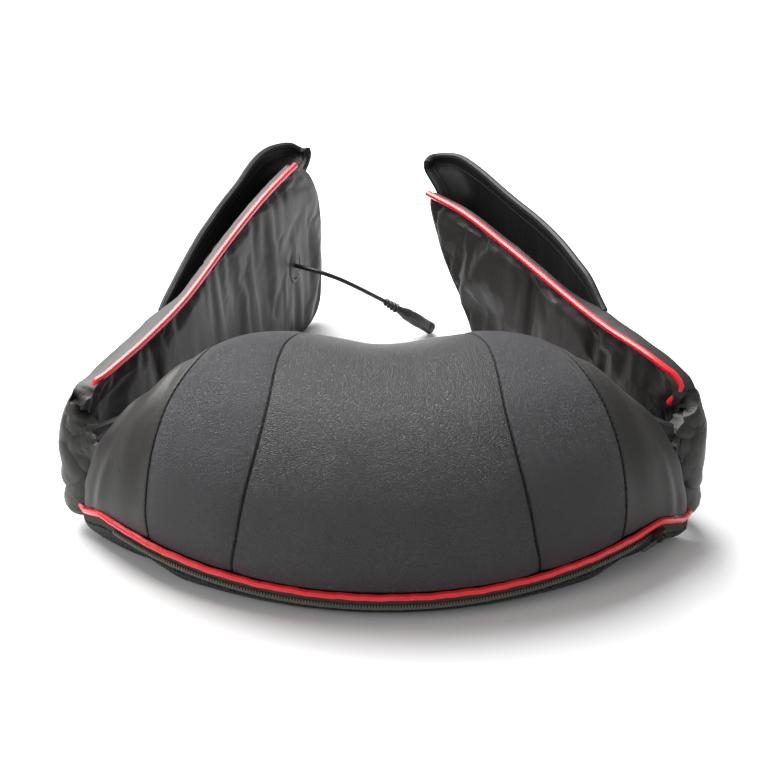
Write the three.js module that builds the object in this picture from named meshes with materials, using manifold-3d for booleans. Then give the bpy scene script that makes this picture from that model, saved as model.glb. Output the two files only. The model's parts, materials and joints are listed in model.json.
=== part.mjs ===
// Shiatsu neck massager: a crescent-shaped padded body that goes behind the neck, with two
// kneading heads driven by one motor, and two padded shoulder straps that end in hand loops.
// Millimetres, +Z up. It lies on its neck side, with the closed side of the U towards -Y, so the
// straps reach back towards +Y. The origin is the middle of the flat patch under the body.

import * as THREE from "three";
import { mergeVertices } from "three/addons/utils/BufferGeometryUtils.js";
import Module from "manifold-3d";

const wasm = await Module();
wasm.setup();

const { degToRad, lerp, smoothstep } = THREE.MathUtils;
const GAP = 0.4; // between pieces that touch

// ---------------------------------------------------------------- driving dimensions

const rim = { centreY: 225, radius: 294, height: 22, bandFoot: 7, slope: 0.2 }; // outer rim arc
const bodyEnd = 47.5; // degrees either side of the middle
const seamAngles = { centre: 20, side: 33.6 }; // where the leather panels meet
const leather = 3;
const foam = { outer: 4, outerAtEnds: 7.2, inner: 12.5 };
const housing = { outer: 14.4, inner: 17, reach: 38 };
const meshThickness = 2.4;
const pipingRadius = 2.3;

const sides = [
  { name: "left", sign: -1 },
  { name: "right", sign: 1 },
];
const drive = { y: 30, z: 61, pitch: 22, headX: 78 }; // mechanism frame and head spacing
const plate = { thickness: 3, length: 240, width: 126, corner: 36 };
const gear = { teeth: 24, module: 1.25, midZ: 17, face: 8, centreDistance: 20 };
const head = { tilt: 6, armZ: -12, largeRing: 35, smallRing: 32, large: 15.5, small: 11 };
const motor = { radius: 13, length: 36, shaft: 1.6 };
const shaftRadius = 4;

const zip = { share: 0.958, half: 0.012, coil: [-2.2, -0.4], reach: 41.5, sliderAngle: 39.8, slope: 14 };
const strapHinge = { x: 211, y: 49 };
const corner = { radius: 7, low: 18, high: 92, length: 14 }; // padded corner round the hinge line
const panelFaces = { inner: -8, outer: 1 }; // strap padding, measured across the strap
const loopThickness = 5;
const controls = { s: 230, z: 90, n: 31, length: 50, width: 24, spacing: 15, buttonRadius: 5, travel: 0.8 };

// ---------------------------------------------------------------- colours

const finish = (color, roughness, metalness = 0) =>
  new THREE.MeshStandardMaterial({ color, roughness, metalness });
const blackLeather = finish(0x1d1d20, 0.42);
const strapFabric = finish(0x2b2826, 0.62);
const loopFabric = finish(0x0d0d0e, 0.55);
const neckMesh = finish(0x141416, 0.9);
const redPiping = finish(0xd8161f, 0.32);
const zipTape = finish(0x1b1a18, 0.85);
const padding = finish(0x3a3a3c, 0.95);
const housingPlastic = finish(0x1f2022, 0.5);
const gearPlastic = finish(0xe6e2d6, 0.45);
const headPlastic = finish(0x2c2d31, 0.38);
const nodePlastic = finish(0x8f2026, 0.35);
const steel = finish(0xb4b7bb, 0.3, 1);
const bronze = finish(0xa9824a, 0.4, 1);
const boardGreen = finish(0x1e5a35, 0.5);
const blackPlastic = finish(0x111113, 0.45);
const buttonPlastic = finish(0x3b3c40, 0.5);
const cordPlastic = finish(0x0b0b0c, 0.4);

// ---------------------------------------------------------------- solids

function solidOf(geometry) {
  const bare = geometry.clone();
  for (const name of ["normal", "uv", "uv1"]) bare.deleteAttribute(name);
  const merged = mergeVertices(bare, 1e-3);
  const solid = new wasm.Manifold(
    new wasm.Mesh({
      numProp: 3,
      vertProperties: merged.attributes.position.array,
      triVerts: new Uint32Array(merged.index.array),
    }),
  );
  return solid;
}

function geometryOf(solid) {
  const mesh = solid.getMesh();
  const geometry = new THREE.BufferGeometry();
  geometry.setAttribute("position", new THREE.BufferAttribute(mesh.vertProperties, 3));
  geometry.setIndex(new THREE.BufferAttribute(mesh.triVerts, 1));
  geometry.computeVertexNormals();
  return geometry;
}

const join = (first, ...others) =>
  geometryOf(others.reduce((whole, g) => whole.add(solidOf(g)), solidOf(first)));
const cut = (first, ...others) =>
  geometryOf(others.reduce((whole, g) => whole.subtract(solidOf(g)), solidOf(first)));
const common = (a, b) => geometryOf(solidOf(a).intersect(solidOf(b)));

// A cylinder standing on z, and one lying along x.
const upright = (radius, z0, z1, sides = 24, x = 0, y = 0) =>
  new THREE.CylinderGeometry(radius, radius, z1 - z0, sides)
    .rotateX(Math.PI / 2)
    .translate(x, y, (z0 + z1) / 2);
const lying = (radius, x0, x1, y, z, sides = 24) =>
  new THREE.CylinderGeometry(radius, radius, x1 - x0, sides)
    .rotateZ(-Math.PI / 2)
    .translate((x0 + x1) / 2, y, z);
const block = (x0, x1, y0, y1, z0, z1) =>
  new THREE.BoxGeometry(x1 - x0, y1 - y0, z1 - z0).translate(
    (x0 + x1) / 2,
    (y0 + y1) / 2,
    (z0 + z1) / 2,
  );
// A turned piece about z, from [radius, z] points that start and end on the axis.
const turned = (points, sides = 24) =>
  new THREE.LatheGeometry(points.map(([r, z]) => new THREE.Vector2(r, z)), sides).rotateX(Math.PI / 2);

// A box of nu by nv by nw cells whose corners (u, v, w), each 0 to 1, are moved to place(u, v, w).
function shapedBox(nu, nv, nw, place) {
  const geometry = new THREE.BoxGeometry(1, 1, 1, nu, nv, nw);
  const corners = geometry.attributes.position;
  const point = new THREE.Vector3();
  for (let i = 0; i < corners.count; i++) {
    point.fromBufferAttribute(corners, i).addScalar(0.5);
    const moved = place(point.x, point.y, point.z);
    corners.setXYZ(i, moved.x, moved.y, moved.z);
  }
  return geometry;
}

// A tube of the given radius along a path.
function tube(points, radius, steps, sides = 8) {
  const section = new THREE.Shape().absarc(0, 0, radius, 0, 2 * Math.PI);
  return new THREE.ExtrudeGeometry(section, {
    steps,
    curveSegments: sides / 2,
    extrudePath: new THREE.CatmullRomCurve3(points, false, "centripetal"),
  });
}

// A smooth value between knots [[x, y], ...], level at both ends.
function between(knots, x) {
  const last = knots.length - 1;
  if (x <= knots[0][0]) return knots[0][1];
  if (x >= knots[last][0]) return knots[last][1];
  const i = knots.findIndex(([at]) => at > x) - 1;
  const slope = (k) =>
    k === 0 || k === last ? 0 : (knots[k + 1][1] - knots[k - 1][1]) / (knots[k + 1][0] - knots[k - 1][0]);
  const [x0, y0] = knots[i];
  const [x1, y1] = knots[i + 1];
  const h = x1 - x0;
  const t = (x - x0) / h;
  return (
    y0 * (2 * t ** 3 - 3 * t ** 2 + 1) +
    h * slope(i) * (t ** 3 - 2 * t ** 2 + t) +
    y1 * (3 * t ** 2 - 2 * t ** 3) +
    h * slope(i + 1) * (t ** 3 - t ** 2)
  );
}

// ---------------------------------------------------------------- the body's outer form

// Half a section through the middle, as [distance from the rim's centre, height]: over the
// leather from the outer rim (first point) to the inner rim, then back along the neck side.
const sectionOutline = new THREE.CatmullRomCurve3(
  [
    [294, 22], [297, 52], [285, 94], [249, 131], [202, 146], [155, 135], [121, 105],
    [110, 72], [121, 43], [156, 17], [197, -2], [236, -4], [272, -3], [291, 7],
  ].map(([r, z]) => new THREE.Vector3(r, z, 0)),
  true,
);
const innerRimAt = 0.5; // share of the outline
const gussetAt = 13 / 14;
const middle = { inner: 110, crown: 146 };
const innerRadiusAt = [[0, 110], [20, 111], [32.5, 130], [38, 160], [41.8, 194], [45, 238], [47.5, 262]];
const crownAt = [[0, 148], [8, 149], [18, 151], [27, 152], [33, 148], [38, 136], [41.8, 116], [bodyEnd, 98]];
const liftAt = [[41, 0], [bodyEnd, 3]];
const outerRadiusAt = [[0, 294], [41, 294], [bodyEnd, 290]];
const climbKeptAt = [[41, 1], [bodyEnd, 0.2]]; // the rim climbs along its arc and levels off at the ends

// The point of the body at an angle along it, a share of the outline and a depth below the
// surface, before it is turned to its angle: x is the distance from the rim's centre.
function sectionPoint(angle, share, depth) {
  const inner = between(innerRadiusAt, Math.abs(angle));
  const outer = between(outerRadiusAt, Math.abs(angle));
  const crown = between(crownAt, Math.abs(angle));
  const lift = between(liftAt, Math.abs(angle));
  const climb = rim.slope * rim.radius * (1 - Math.cos(degToRad(angle))) *
    between(climbKeptAt, Math.abs(angle));
  const at = sectionOutline.getPoint(((share % 1) + 1) % 1);
  const across = (at.x - middle.inner) / (rim.radius - middle.inner);
  const above = Math.max(0, at.y - rim.height) / (middle.crown - rim.height);
  const low = Math.max(0, Math.min(at.y, rim.height));
  const r = lerp(inner, outer, across);
  const raised = lift + climb * Math.min(1, low / rim.bandFoot);
  const z = low + raised * (1 - above) + above * (crown - rim.height);
  const core = { r: (inner + outer) / 2 + 4, z: lerp(lift, crown, 0.42) };
  const keep = 1 - depth / Math.hypot(r - core.r, z - core.z);
  return { r: core.r + (r - core.r) * keep, z: core.z + (z - core.z) * keep };
}

function bodyPoint(angle, share, depth) {
  const { r, z } = sectionPoint(angle, share, depth);
  const a = degToRad(angle);
  return new THREE.Vector3(r * Math.sin(a), rim.centreY - r * Math.cos(a), z);
}

// The neck side swells out in a ring over the path of each head's nodes.
const driveFrame = new THREE.Matrix4()
  .makeTranslation(0, drive.y, drive.z)
  .multiply(new THREE.Matrix4().makeRotationX(degToRad(drive.pitch)));
const toDrive = driveFrame.clone().invert();
const neckward = new THREE.Vector3(0, 0, -1).transformDirection(driveFrame);

function neckPoint(angle, share, depth) {
  const point = bodyPoint(angle, share, depth);
  const local = point.clone().applyMatrix4(toDrive);
  const fromHead = Math.hypot(Math.abs(local.x) - drive.headX, local.y);
  const swell = 6 * Math.exp(-(((fromHead - head.largeRing) / 15) ** 2));
  point.addScaledVector(neckward, swell);
  point.z = Math.max(point.z, depth);
  return point;
}

// Every layer of the body has its corners at the same angles and shares, so the layers nest.
const angleStations = [-bodyEnd, -44, -40.5, -37, -33.6, -26.8, -20, -13.3, -6.7, 0];
angleStations.push(...angleStations.slice(0, -1).map((angle) => -angle).reverse());
const shareStations = Array.from({ length: 21 }, (_, k) => k / 20);
const spread = (stations, from, to) => {
  const margin = 0.3 * (stations[1] - stations[0]);
  return [from, ...stations.filter((at) => at > from + margin && at < to - margin), to];
};

// A shell piece of the body between two angles, two shares of the outline and two depths.
// A depth may also be a function of the angle.
function shell(pointAt, angles, shares, depths) {
  const across = spread(angleStations, ...angles);
  const around = spread(shareStations, ...shares);
  const [outer, inner] = depths.map((depth) => (typeof depth === "number" ? () => depth : depth));
  return shapedBox(across.length - 1, around.length - 1, 1, (u, v, w) => {
    const angle = across[Math.round(u * (across.length - 1))];
    const share = around[Math.round(v * (around.length - 1))];
    return pointAt(angle, share, w > 0.5 ? outer(angle) : inner(angle));
  });
}

// The body as a filled solid between two angles, everything below a given depth.
function filled(depth, from, to, slices = 14) {
  const geometry = new THREE.CylinderGeometry(1, 1, 1, 20, slices);
  const corners = geometry.attributes.position;
  const point = new THREE.Vector3();
  for (let i = 0; i < corners.count; i++) {
    point.fromBufferAttribute(corners, i);
    const angle = lerp(from, to, point.y + 0.5);
    const share = -Math.atan2(point.x, point.z) / (2 * Math.PI);
    const edge = bodyPoint(angle, share, depth);
    const opposite = bodyPoint(angle, share + 0.5, depth);
    const core = edge.clone().add(opposite).multiplyScalar(0.5);
    const onAxis = Math.hypot(point.x, point.z) < 0.5;
    const moved = onAxis ? core : edge;
    corners.setXYZ(i, moved.x, moved.y, moved.z);
  }
  return geometry;
}

// ---------------------------------------------------------------- assembly

const massager = new THREE.Group();
const mechanism = new THREE.Group();
mechanism.position.set(0, drive.y, drive.z);
mechanism.rotation.x = degToRad(drive.pitch);
massager.add(mechanism);

function add(group, name, geometry, material) {
  const mesh = new THREE.Mesh(geometry, material);
  mesh.name = name;
  group.add(mesh);
  return mesh;
}

// ---------------------------------------------------------------- cover and padding

const leatherShares = [0.008, innerRimAt - 0.008];
const neckShares = [innerRimAt + 0.008, gussetAt - 0.012];
const seamGap = 0.12; // degrees either side of a seam

// An end panel closes the body's end and goes on as a padded corner round the strap's hinge line.
function endPanelGeometry(sign) {
  const [from, to] = [seamAngles.side + seamGap, bodyEnd].map((angle) => sign * angle).sort((a, b) => a - b);
  const cover = shell(bodyPoint, [from, to], leatherShares, [0, leather]);
  const capAngles = [bodyEnd - 0.55, bodyEnd].map((angle) => sign * angle).sort((a, b) => a - b);
  const cap = filled(leather - 0.25, ...capAngles, 1);
  const { radius, low, high, length } = corner;
  const pad = upright(radius, low, high, 16);
  const stem = block(0, length, -radius, radius, low, high)
    .rotateZ(degToRad(sign * bodyEnd) + (sign > 0 ? Math.PI : 0));
  const knuckle = join(pad, stem).translate(sign * strapHinge.x, strapHinge.y, 0);
  return join(cover, cap, knuckle);
}

function addCover() {
  const { centre, side } = seamAngles;
  const panel = (name, from, to, material) =>
    add(massager, name, shell(bodyPoint, [from, to], leatherShares, [0, leather]), material);
  panel("center_leather_panel", -centre + seamGap, centre - seamGap, blackLeather);
  panel("left_leather_panel", -side + seamGap, -centre - seamGap, blackLeather);
  panel("right_leather_panel", centre + seamGap, side - seamGap, blackLeather);
  for (const { name, sign } of sides) add(massager, name + "_end_panel", endPanelGeometry(sign), strapFabric);
  add(massager, "neck_mesh_cover",
    shell(neckPoint, [0.6 - bodyEnd, bodyEnd - 0.6], neckShares, [0, meshThickness]), neckMesh);
}

function addPadding() {
  const reach = bodyEnd - 0.6;
  const halfWidth = (angle) => (rim.radius - between(innerRadiusAt, Math.abs(angle))) / 2;
  const outer = (angle) => between([[20, foam.outer], [bodyEnd, foam.outerAtEnds]], Math.abs(angle));
  const inner = (angle) => Math.min(foam.inner, outer(angle) + 0.25 * halfWidth(angle));
  add(massager, "back_foam",
    shell(bodyPoint, [-reach, reach], [0.012, innerRimAt - 0.012], [outer, inner]), padding);
  const ring = shell(bodyPoint, [-reach, reach], [innerRimAt + 0.014, gussetAt - 0.02], [outer, inner]);
  const windows = sides.map(({ sign }) =>
    upright(head.largeRing + head.large + 5, -90, 20, 20, sign * drive.headX, 0).applyMatrix4(driveFrame));
  add(massager, "neck_foam_ring", cut(ring, ...windows), padding);
}

// ---------------------------------------------------------------- red piping and zip

function addPiping() {
  const along = (share, reach, standOff) =>
    spread(angleStations, -reach, reach).map((angle) =>
      bodyPoint(angle, share, -pipingRadius - between(standOff, Math.abs(angle))));
  const lower = along(0, bodyEnd, [[20, 0.7], [bodyEnd, 2]]);
  const upper = along(innerRimAt, 40.5, [[20, 0.7], [32.5, 3], [40.5, 8]]);
  add(massager, "lower_rim_piping", tube(lower, pipingRadius, 26), redPiping);
  add(massager, "upper_rim_piping", tube(upper, pipingRadius, 28), redPiping);
}

function addZip() {
  const { reach, half, coil, sliderAngle } = zip;
  add(massager, "zip_tape",
    shell(bodyPoint, [-bodyEnd, bodyEnd], [zip.share - 0.024, zip.share + 0.022], [0, 1.6]), zipTape);
  add(massager, "zip_coil",
    shell(bodyPoint, [-reach, reach], [zip.share - half, zip.share + half], coil), zipTape);

  // The coil lies on a tilted circle through its front and the slider's place. The slider turns
  // round the circle's axis as it rides, and its pull swings on a bar under the slider's bridge.
  const front = bodyPoint(0, zip.share, coil[0]);
  const at = bodyPoint(sliderAngle, zip.share, coil[0]);
  const back = Math.hypot(at.y - front.y, at.z - front.z);
  const tilt = Math.atan2(at.z - front.z, at.y - front.y);
  const radius = (at.x ** 2 + back ** 2) / (2 * back);
  const circle = new THREE.Group();
  circle.position.set(0, front.y + radius * Math.cos(tilt), front.z + radius * Math.sin(tilt));
  circle.rotation.x = tilt;
  circle.updateMatrix();
  massager.add(circle);
  const slider = new THREE.Group();
  slider.position.copy(at).applyMatrix4(circle.matrix.clone().invert());
  const turn = Math.atan2(slider.position.x, -slider.position.y);
  slider.rotation.set(degToRad(zip.slope) - tilt, 0, turn, "ZXY");
  circle.add(slider);
  const plateTop = join(
    block(-5.5, 5.5, -2.4, -0.8, -4, 4),
    ...[-1, 1].map((side) => block(-5.5, 5.5, -1.3, 1.2, side * 3.5 - 0.5, side * 3.5 + 0.5)),
    ...[-1, 1].map((side) => block(side * 3.5 - 0.5, side * 3.5 + 0.5, -6.1, -2, -0.8, 0.8)),
    block(-4, 4, -6.1, -4.9, -0.8, 0.8),
  );
  add(slider, "zip_slider", plateTop, blackPlastic);
  const tag = new THREE.Shape();
  tag.moveTo(0.6, -2.6).lineTo(-17, -2.2).absarc(-17, 0, 2.2, -Math.PI / 2, Math.PI / 2, true);
  tag.lineTo(0.6, 2.6).closePath();
  const eye = new THREE.Path();
  eye.moveTo(-5.4, -1.3).lineTo(-0.6, -1.3).lineTo(-0.6, 1.3).lineTo(-5.4, 1.3).closePath();
  tag.holes.push(eye);
  const pull = new THREE.ExtrudeGeometry(tag, { depth: 1, bevelEnabled: false, curveSegments: 4 });
  add(slider, "zip_pull", pull.rotateX(Math.PI / 2).translate(0, -3.1, 0), blackPlastic);
}

// ---------------------------------------------------------------- housing and frame

const screwSpots = [[-1, -1], [-1, 1], [1, -1], [1, 1]].map(([x, y]) => [x * 96, y * 40 - 8]);

function addHousing() {
  const dome = shell(bodyPoint, [-housing.reach, housing.reach], [-0.05, innerRimAt + 0.05],
    [housing.outer, housing.inner]);
  const below = block(-200, 200, -200, 200, -120, GAP).applyMatrix4(driveFrame);
  const inside = filled(housing.outer + 1.2, 1 - housing.reach, housing.reach - 1);
  const bosses = screwSpots.map(([x, y]) =>
    common(upright(4.5, plate.thickness + GAP, 90, 12, x, y).applyMatrix4(driveFrame), inside));
  const holes = screwSpots.map(([x, y]) => upright(1.9, -1, 18, 12, x, y).applyMatrix4(driveFrame));
  add(massager, "back_housing", cut(join(cut(dome, below), ...bosses), ...holes), housingPlastic);

  const blank = new THREE.Shape();
  const [hx, hy, c] = [plate.length / 2, plate.width / 2, plate.corner];
  blank.moveTo(-hx + c, -hy).lineTo(hx - c, -hy).absarc(hx - c, -hy + c, c, -Math.PI / 2, 0);
  blank.lineTo(hx, hy - c).absarc(hx - c, hy - c, c, 0, Math.PI / 2);
  blank.lineTo(-hx + c, hy).absarc(-hx + c, hy - c, c, Math.PI / 2, Math.PI);
  blank.lineTo(-hx, -hy + c).absarc(-hx + c, -hy + c, c, Math.PI, 1.5 * Math.PI);
  const sheet = new THREE.ExtrudeGeometry(blank, {
    depth: plate.thickness, bevelEnabled: false, curveSegments: 6,
  }).translate(0, -8, 0);
  const room = filled(housing.inner + 1.5, 1 - housing.reach, housing.reach - 1).applyMatrix4(toDrive);
  const bores = sides.map(({ sign }) => upright(7.2, -5, 10, 16, sign * drive.headX, 0));
  const screwHoles = screwSpots.map(([x, y]) => upright(1.9, -5, 10, 12, x, y));
  add(mechanism, "drive_plate", cut(common(sheet, room), ...bores, ...screwHoles), housingPlastic);

  screwSpots.forEach(([x, y], i) => {
    const screw = turned(
      [[0, -2.6], [2.2, -2.6], [3.1, -1.6], [3.1, -0.4], [1.4, -0.4], [1.4, 14], [0, 15]], 8);
    const slot = block(-3.5, 3.5, -0.4, 0.4, -3, -1.8);
    add(mechanism, "housing_screw_" + (i + 1), cut(screw, slot).translate(x, y, 0), steel);
  });
}

// ---------------------------------------------------------------- motor, worms and gears

const pitch = Math.PI * gear.module; // also the worm's lead
const worm = {
  y: -gear.centreDistance,
  z: gear.midZ,
  core: 3.5,
  tip: 6.1,
  pitchRadius: 5,
  turns: 3.5,
  thickness: 1.45,
  flank: Math.tan(degToRad(20)),
};
const wheelRadius = (gear.teeth * gear.module) / 2;

// One start of thread about the x axis. The hand is +1 for a right-hand thread.
function wormGeometry(hand) {
  const steps = worm.turns * 8;
  const thread = shapedBox(steps, 1, 1, (u, v, w) => {
    const turn = (u - 0.5) * worm.turns * 2 * Math.PI;
    const r = lerp(worm.core - 0.5, worm.tip, w);
    const fade = smoothstep(Math.min(u, 1 - u) * worm.turns, 0, 0.3);
    const half = (worm.thickness / 2 - (r - worm.pitchRadius) * worm.flank) * lerp(0.4, 1, fade);
    const x = (turn / (2 * Math.PI)) * pitch + (v - 0.5) * 2 * half;
    return new THREE.Vector3(x, r * Math.cos(turn * hand), r * Math.sin(turn * hand));
  });
  const length = worm.turns * pitch + 8;
  const core = lying(worm.core, -length / 2, length / 2, 0, 0, 12);
  const bore = lying(motor.shaft + GAP, -length, length, 0, 0, 10);
  const flipped = hand > 0 ? thread : reversed(thread);
  return cut(join(core, flipped), bore);
}

// The same surface with each face turned round.
function reversed(geometry) {
  const index = geometry.index.array;
  for (let i = 0; i < index.length; i += 3) [index[i + 1], index[i + 2]] = [index[i + 2], index[i + 1]];
  return geometry;
}

// A worm wheel about the z axis, with teeth that lean to follow the worm's thread.
function wheelGeometry(hand) {
  const outline = new THREE.Shape();
  const root = wheelRadius - 1.5;
  const tip = wheelRadius + 1.05;
  const halfAngle = (r) => (1.45 / 2 - (r - wheelRadius) * worm.flank) / r;
  for (let k = 0; k < gear.teeth; k++) {
    const at = (k * 2 * Math.PI) / gear.teeth;
    const corners = [[root, -1], [tip, -1], [tip, 1], [root, 1]];
    corners.forEach(([r, s], i) => {
      const a = at + s * halfAngle(r);
      const point = [r * Math.cos(a), r * Math.sin(a)];
      if (k === 0 && i === 0) outline.moveTo(...point);
      else outline.lineTo(...point);
    });
  }
  outline.closePath();
  const bore = new THREE.Path().absarc(0, 0, shaftRadius + GAP, 0, 2 * Math.PI, true);
  outline.holes.push(bore);
  const geometry = new THREE.ExtrudeGeometry(outline, {
    depth: gear.face, steps: 1, bevelEnabled: false, curveSegments: 8,
  }).translate(0, 0, -gear.face / 2);
  const lean = pitch / (2 * Math.PI * worm.pitchRadius) / wheelRadius; // radians per mm of face
  const corners = geometry.attributes.position;
  const point = new THREE.Vector3();
  const axis = new THREE.Vector3(0, 0, 1);
  for (let i = 0; i < corners.count; i++) {
    point.fromBufferAttribute(corners, i);
    point.applyAxisAngle(axis, hand * lean * point.z);
    corners.setXYZ(i, point.x, point.y, point.z);
  }
  const hubEnd = gear.face / 2 + 1.5;
  const hub = cut(upright(7.5, -hubEnd, hubEnd, 16), upright(shaftRadius + GAP, -9, 9, 16));
  return join(geometry, hub);
}

function addMotor() {
  const half = motor.length / 2;
  const [y, z] = [worm.y, worm.z];
  const can = join(lying(motor.radius, -half, half, y, z, 20), lying(4.5, -half - 3, half + 3, y, z, 12));
  const bore = lying(motor.shaft + GAP, -40, 40, y, z, 10);
  add(mechanism, "motor_can", cut(can, bore), steel);
  add(mechanism, "motor_shaft", lying(motor.shaft, -98, 98, y, z, 10), steel);

  const arch = new THREE.Shape();
  const [r0, r1, foot] = [motor.radius + GAP, motor.radius + 2.4, plate.thickness + GAP - z];
  arch.moveTo(r0, foot).lineTo(r0 + 11, foot).lineTo(r0 + 11, foot + 2.2);
  arch.lineTo(r1, foot + 2.2).lineTo(r1, 0);
  arch.absarc(0, 0, r1, 0, Math.PI).lineTo(-r1, foot + 2.2).lineTo(-r0 - 11, foot + 2.2);
  arch.lineTo(-r0 - 11, foot).lineTo(-r0, foot).lineTo(-r0, 0).absarc(0, 0, r0, Math.PI, 0, true);
  const strap = new THREE.ExtrudeGeometry(arch, { depth: 12, bevelEnabled: false, curveSegments: 12 });
  strap.translate(0, 0, -6).rotateX(Math.PI / 2).rotateZ(Math.PI / 2).translate(0, y, z);
  add(mechanism, "motor_bracket", strap, steel);
}

function addDrive() {
  for (const { name, sign } of sides) {
    const x = sign * drive.headX;
    const mesh = add(mechanism, name + "_worm", wormGeometry(sign), gearPlastic);
    mesh.position.set(x, worm.y, worm.z);

    const wheel = add(mechanism, name + "_worm_wheel", wheelGeometry(sign), gearPlastic);
    wheel.position.set(x, 0, gear.midZ);
    wheel.rotation.z = -Math.PI / 2 + Math.PI / gear.teeth;

    const z0 = plate.thickness + GAP;
    const well = upright(wheelRadius + 2.4, 8.5, 40, 20, x, 0);
    const trough = lying(7.6, x - 60, x + 60, worm.y, worm.z, 12);
    const slot = block(x - 60, x + 60, worm.y - 7.6, worm.y + 7.6, worm.z, 60);
    const shaftHole = upright(shaftRadius + GAP, -5, 40, 16, x, 0);
    const bushHole = upright(7.2, -5, 20, 16, x, 0);
    const box = block(x - 21, x + 21, -31, 21, z0, 28);
    add(mechanism, name + "_gearbox", cut(box, well, trough, slot, bushHole), housingPlastic);
    const lid = block(x - 21, x + 21, -31, 21, 28 + GAP, 31);
    add(mechanism, name + "_gearbox_lid", cut(lid, shaftHole), housingPlastic);
    add(mechanism, name + "_bush", cut(upright(6.7, 0.2, 8.2, 16, x, 0), shaftHole), bronze);
    add(mechanism, name + "_output_shaft", upright(shaftRadius, -16, 32, 16, x, 0), steel);
  }
}

// ---------------------------------------------------------------- kneading heads

function addHeads() {
  for (const { name, sign } of sides) {
    const x = sign * drive.headX;
    const tilted = new THREE.Group();
    tilted.position.set(x, 0, head.armZ);
    tilted.rotation.set(degToRad(head.tilt), 0, (sign * Math.PI) / 4, "ZXY");
    mechanism.add(tilted);
    const spots = [0, 1, 2, 3].map((k) => {
      const large = k % 2 === 0;
      const ring = large ? head.largeRing : head.smallRing;
      const a = (k * Math.PI) / 2;
      return { large, x: ring * Math.cos(a), y: ring * Math.sin(a), a };
    });
    const cups = spots.map((s) => upright(s.large ? 9.5 : 7.5, -2.5, 2.5, 10, s.x, s.y));
    const spokes = [0, 1].map((k) =>
      block(-33, 33, -5, 5, -2.5, 2.5).applyMatrix4(new THREE.Matrix4().makeRotationZ((k * Math.PI) / 2)));
    const arm = join(upright(13, -2.8, 2.8, 20), ...cups, ...spokes);
    const socket = upright(shaftRadius + GAP, -20, 20, 16)
      .applyMatrix4(new THREE.Matrix4().makeRotationX(-degToRad(head.tilt)));
    add(tilted, name + "_kneading_arm", cut(arm, socket), headPlastic);
    spots.forEach((s, k) => {
      const r = s.large ? head.large : head.small;
      const tall = s.large ? 29 : 22;
      const dome = turned([
        [0, -2.5 - GAP - tall], [r * 0.42, -2.5 - GAP - tall + 1.2], [r * 0.75, -tall + 1.5],
        [r * 0.95, -tall + 7], [r, -tall + 12], [r * 0.9, -8], [r * 0.7, -2.5 - GAP], [0, -2.5 - GAP],
      ], 12);
      const label = (s.large ? "_large_node_" : "_small_node_") + (k < 2 ? 1 : 2);
      add(tilted, name + label, dome.translate(s.x, s.y, 0), nodePlastic);
    });
  }
}

function addBoard() {
  const board = block(-34, 34, -33, 20, 36, 37.6);
  const chips = [
    block(-24, -10, -16, -4, 37.4, 40),
    block(4, 22, -18, 0, 37.4, 42),
    block(-6, 2, 4, 14, 37.4, 44),
  ];
  const legs = [[-30, -29], [30, -29], [-30, 16], [30, 16]].map(([x, y]) =>
    upright(2, plate.thickness + GAP, 36.2, 8, x, y));
  add(mechanism, "control_board", join(board, ...chips, ...legs), boardGreen);
}

// ---------------------------------------------------------------- straps and hand loops

// Outlines are [distance from the hinge, height]; the loop's plan is [distance, outward].
const straps = {
  left: {
    heading: 63.4,
    top: [[8, 112], [66, 120], [151, 133], [242, 152], [282, 157], [300, 154]],
    tipEdge: [[340, 22], [342, 60], [335, 112], [322, 137], [300, 154]],
    footEnd: 322,
    plan: [[122, 4.2], [150, 12], [205, 24], [270, 27], [318, 23], [338, 13], [342, 4.2]],
    loopTop: [[122, 84], [155, 102], [186, 118], [217, 131], [257, 145], [300, 152], [330, 152], [345, 146]],
    reach: [[0, 0.97], [30, 1], [130, 1], [160, 0.97]],
  },
  right: {
    heading: 127.3,
    top: [[8, 118], [35, 126], [77, 130], [131, 138], [188, 147], [240, 154], [284, 151]],
    tipEdge: [[212, 24], [228, 56], [257, 88], [276, 122], [284, 151]],
    footEnd: 190,
    plan: [
      [100, 4.2], [130, 13], [170, 24], [200, 27], [230, 27.5], [260, 27], [285, 21], [300, 12], [304, 4.2],
    ],
    loopTop: [[100, 104], [119, 119], [139, 133], [173, 148], [219, 158], [267, 166], [306, 167]],
    reach: [[0, 0.62], [56, 0.76], [88, 0.87], [122, 0.95], [152, 1]],
  },
};

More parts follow.
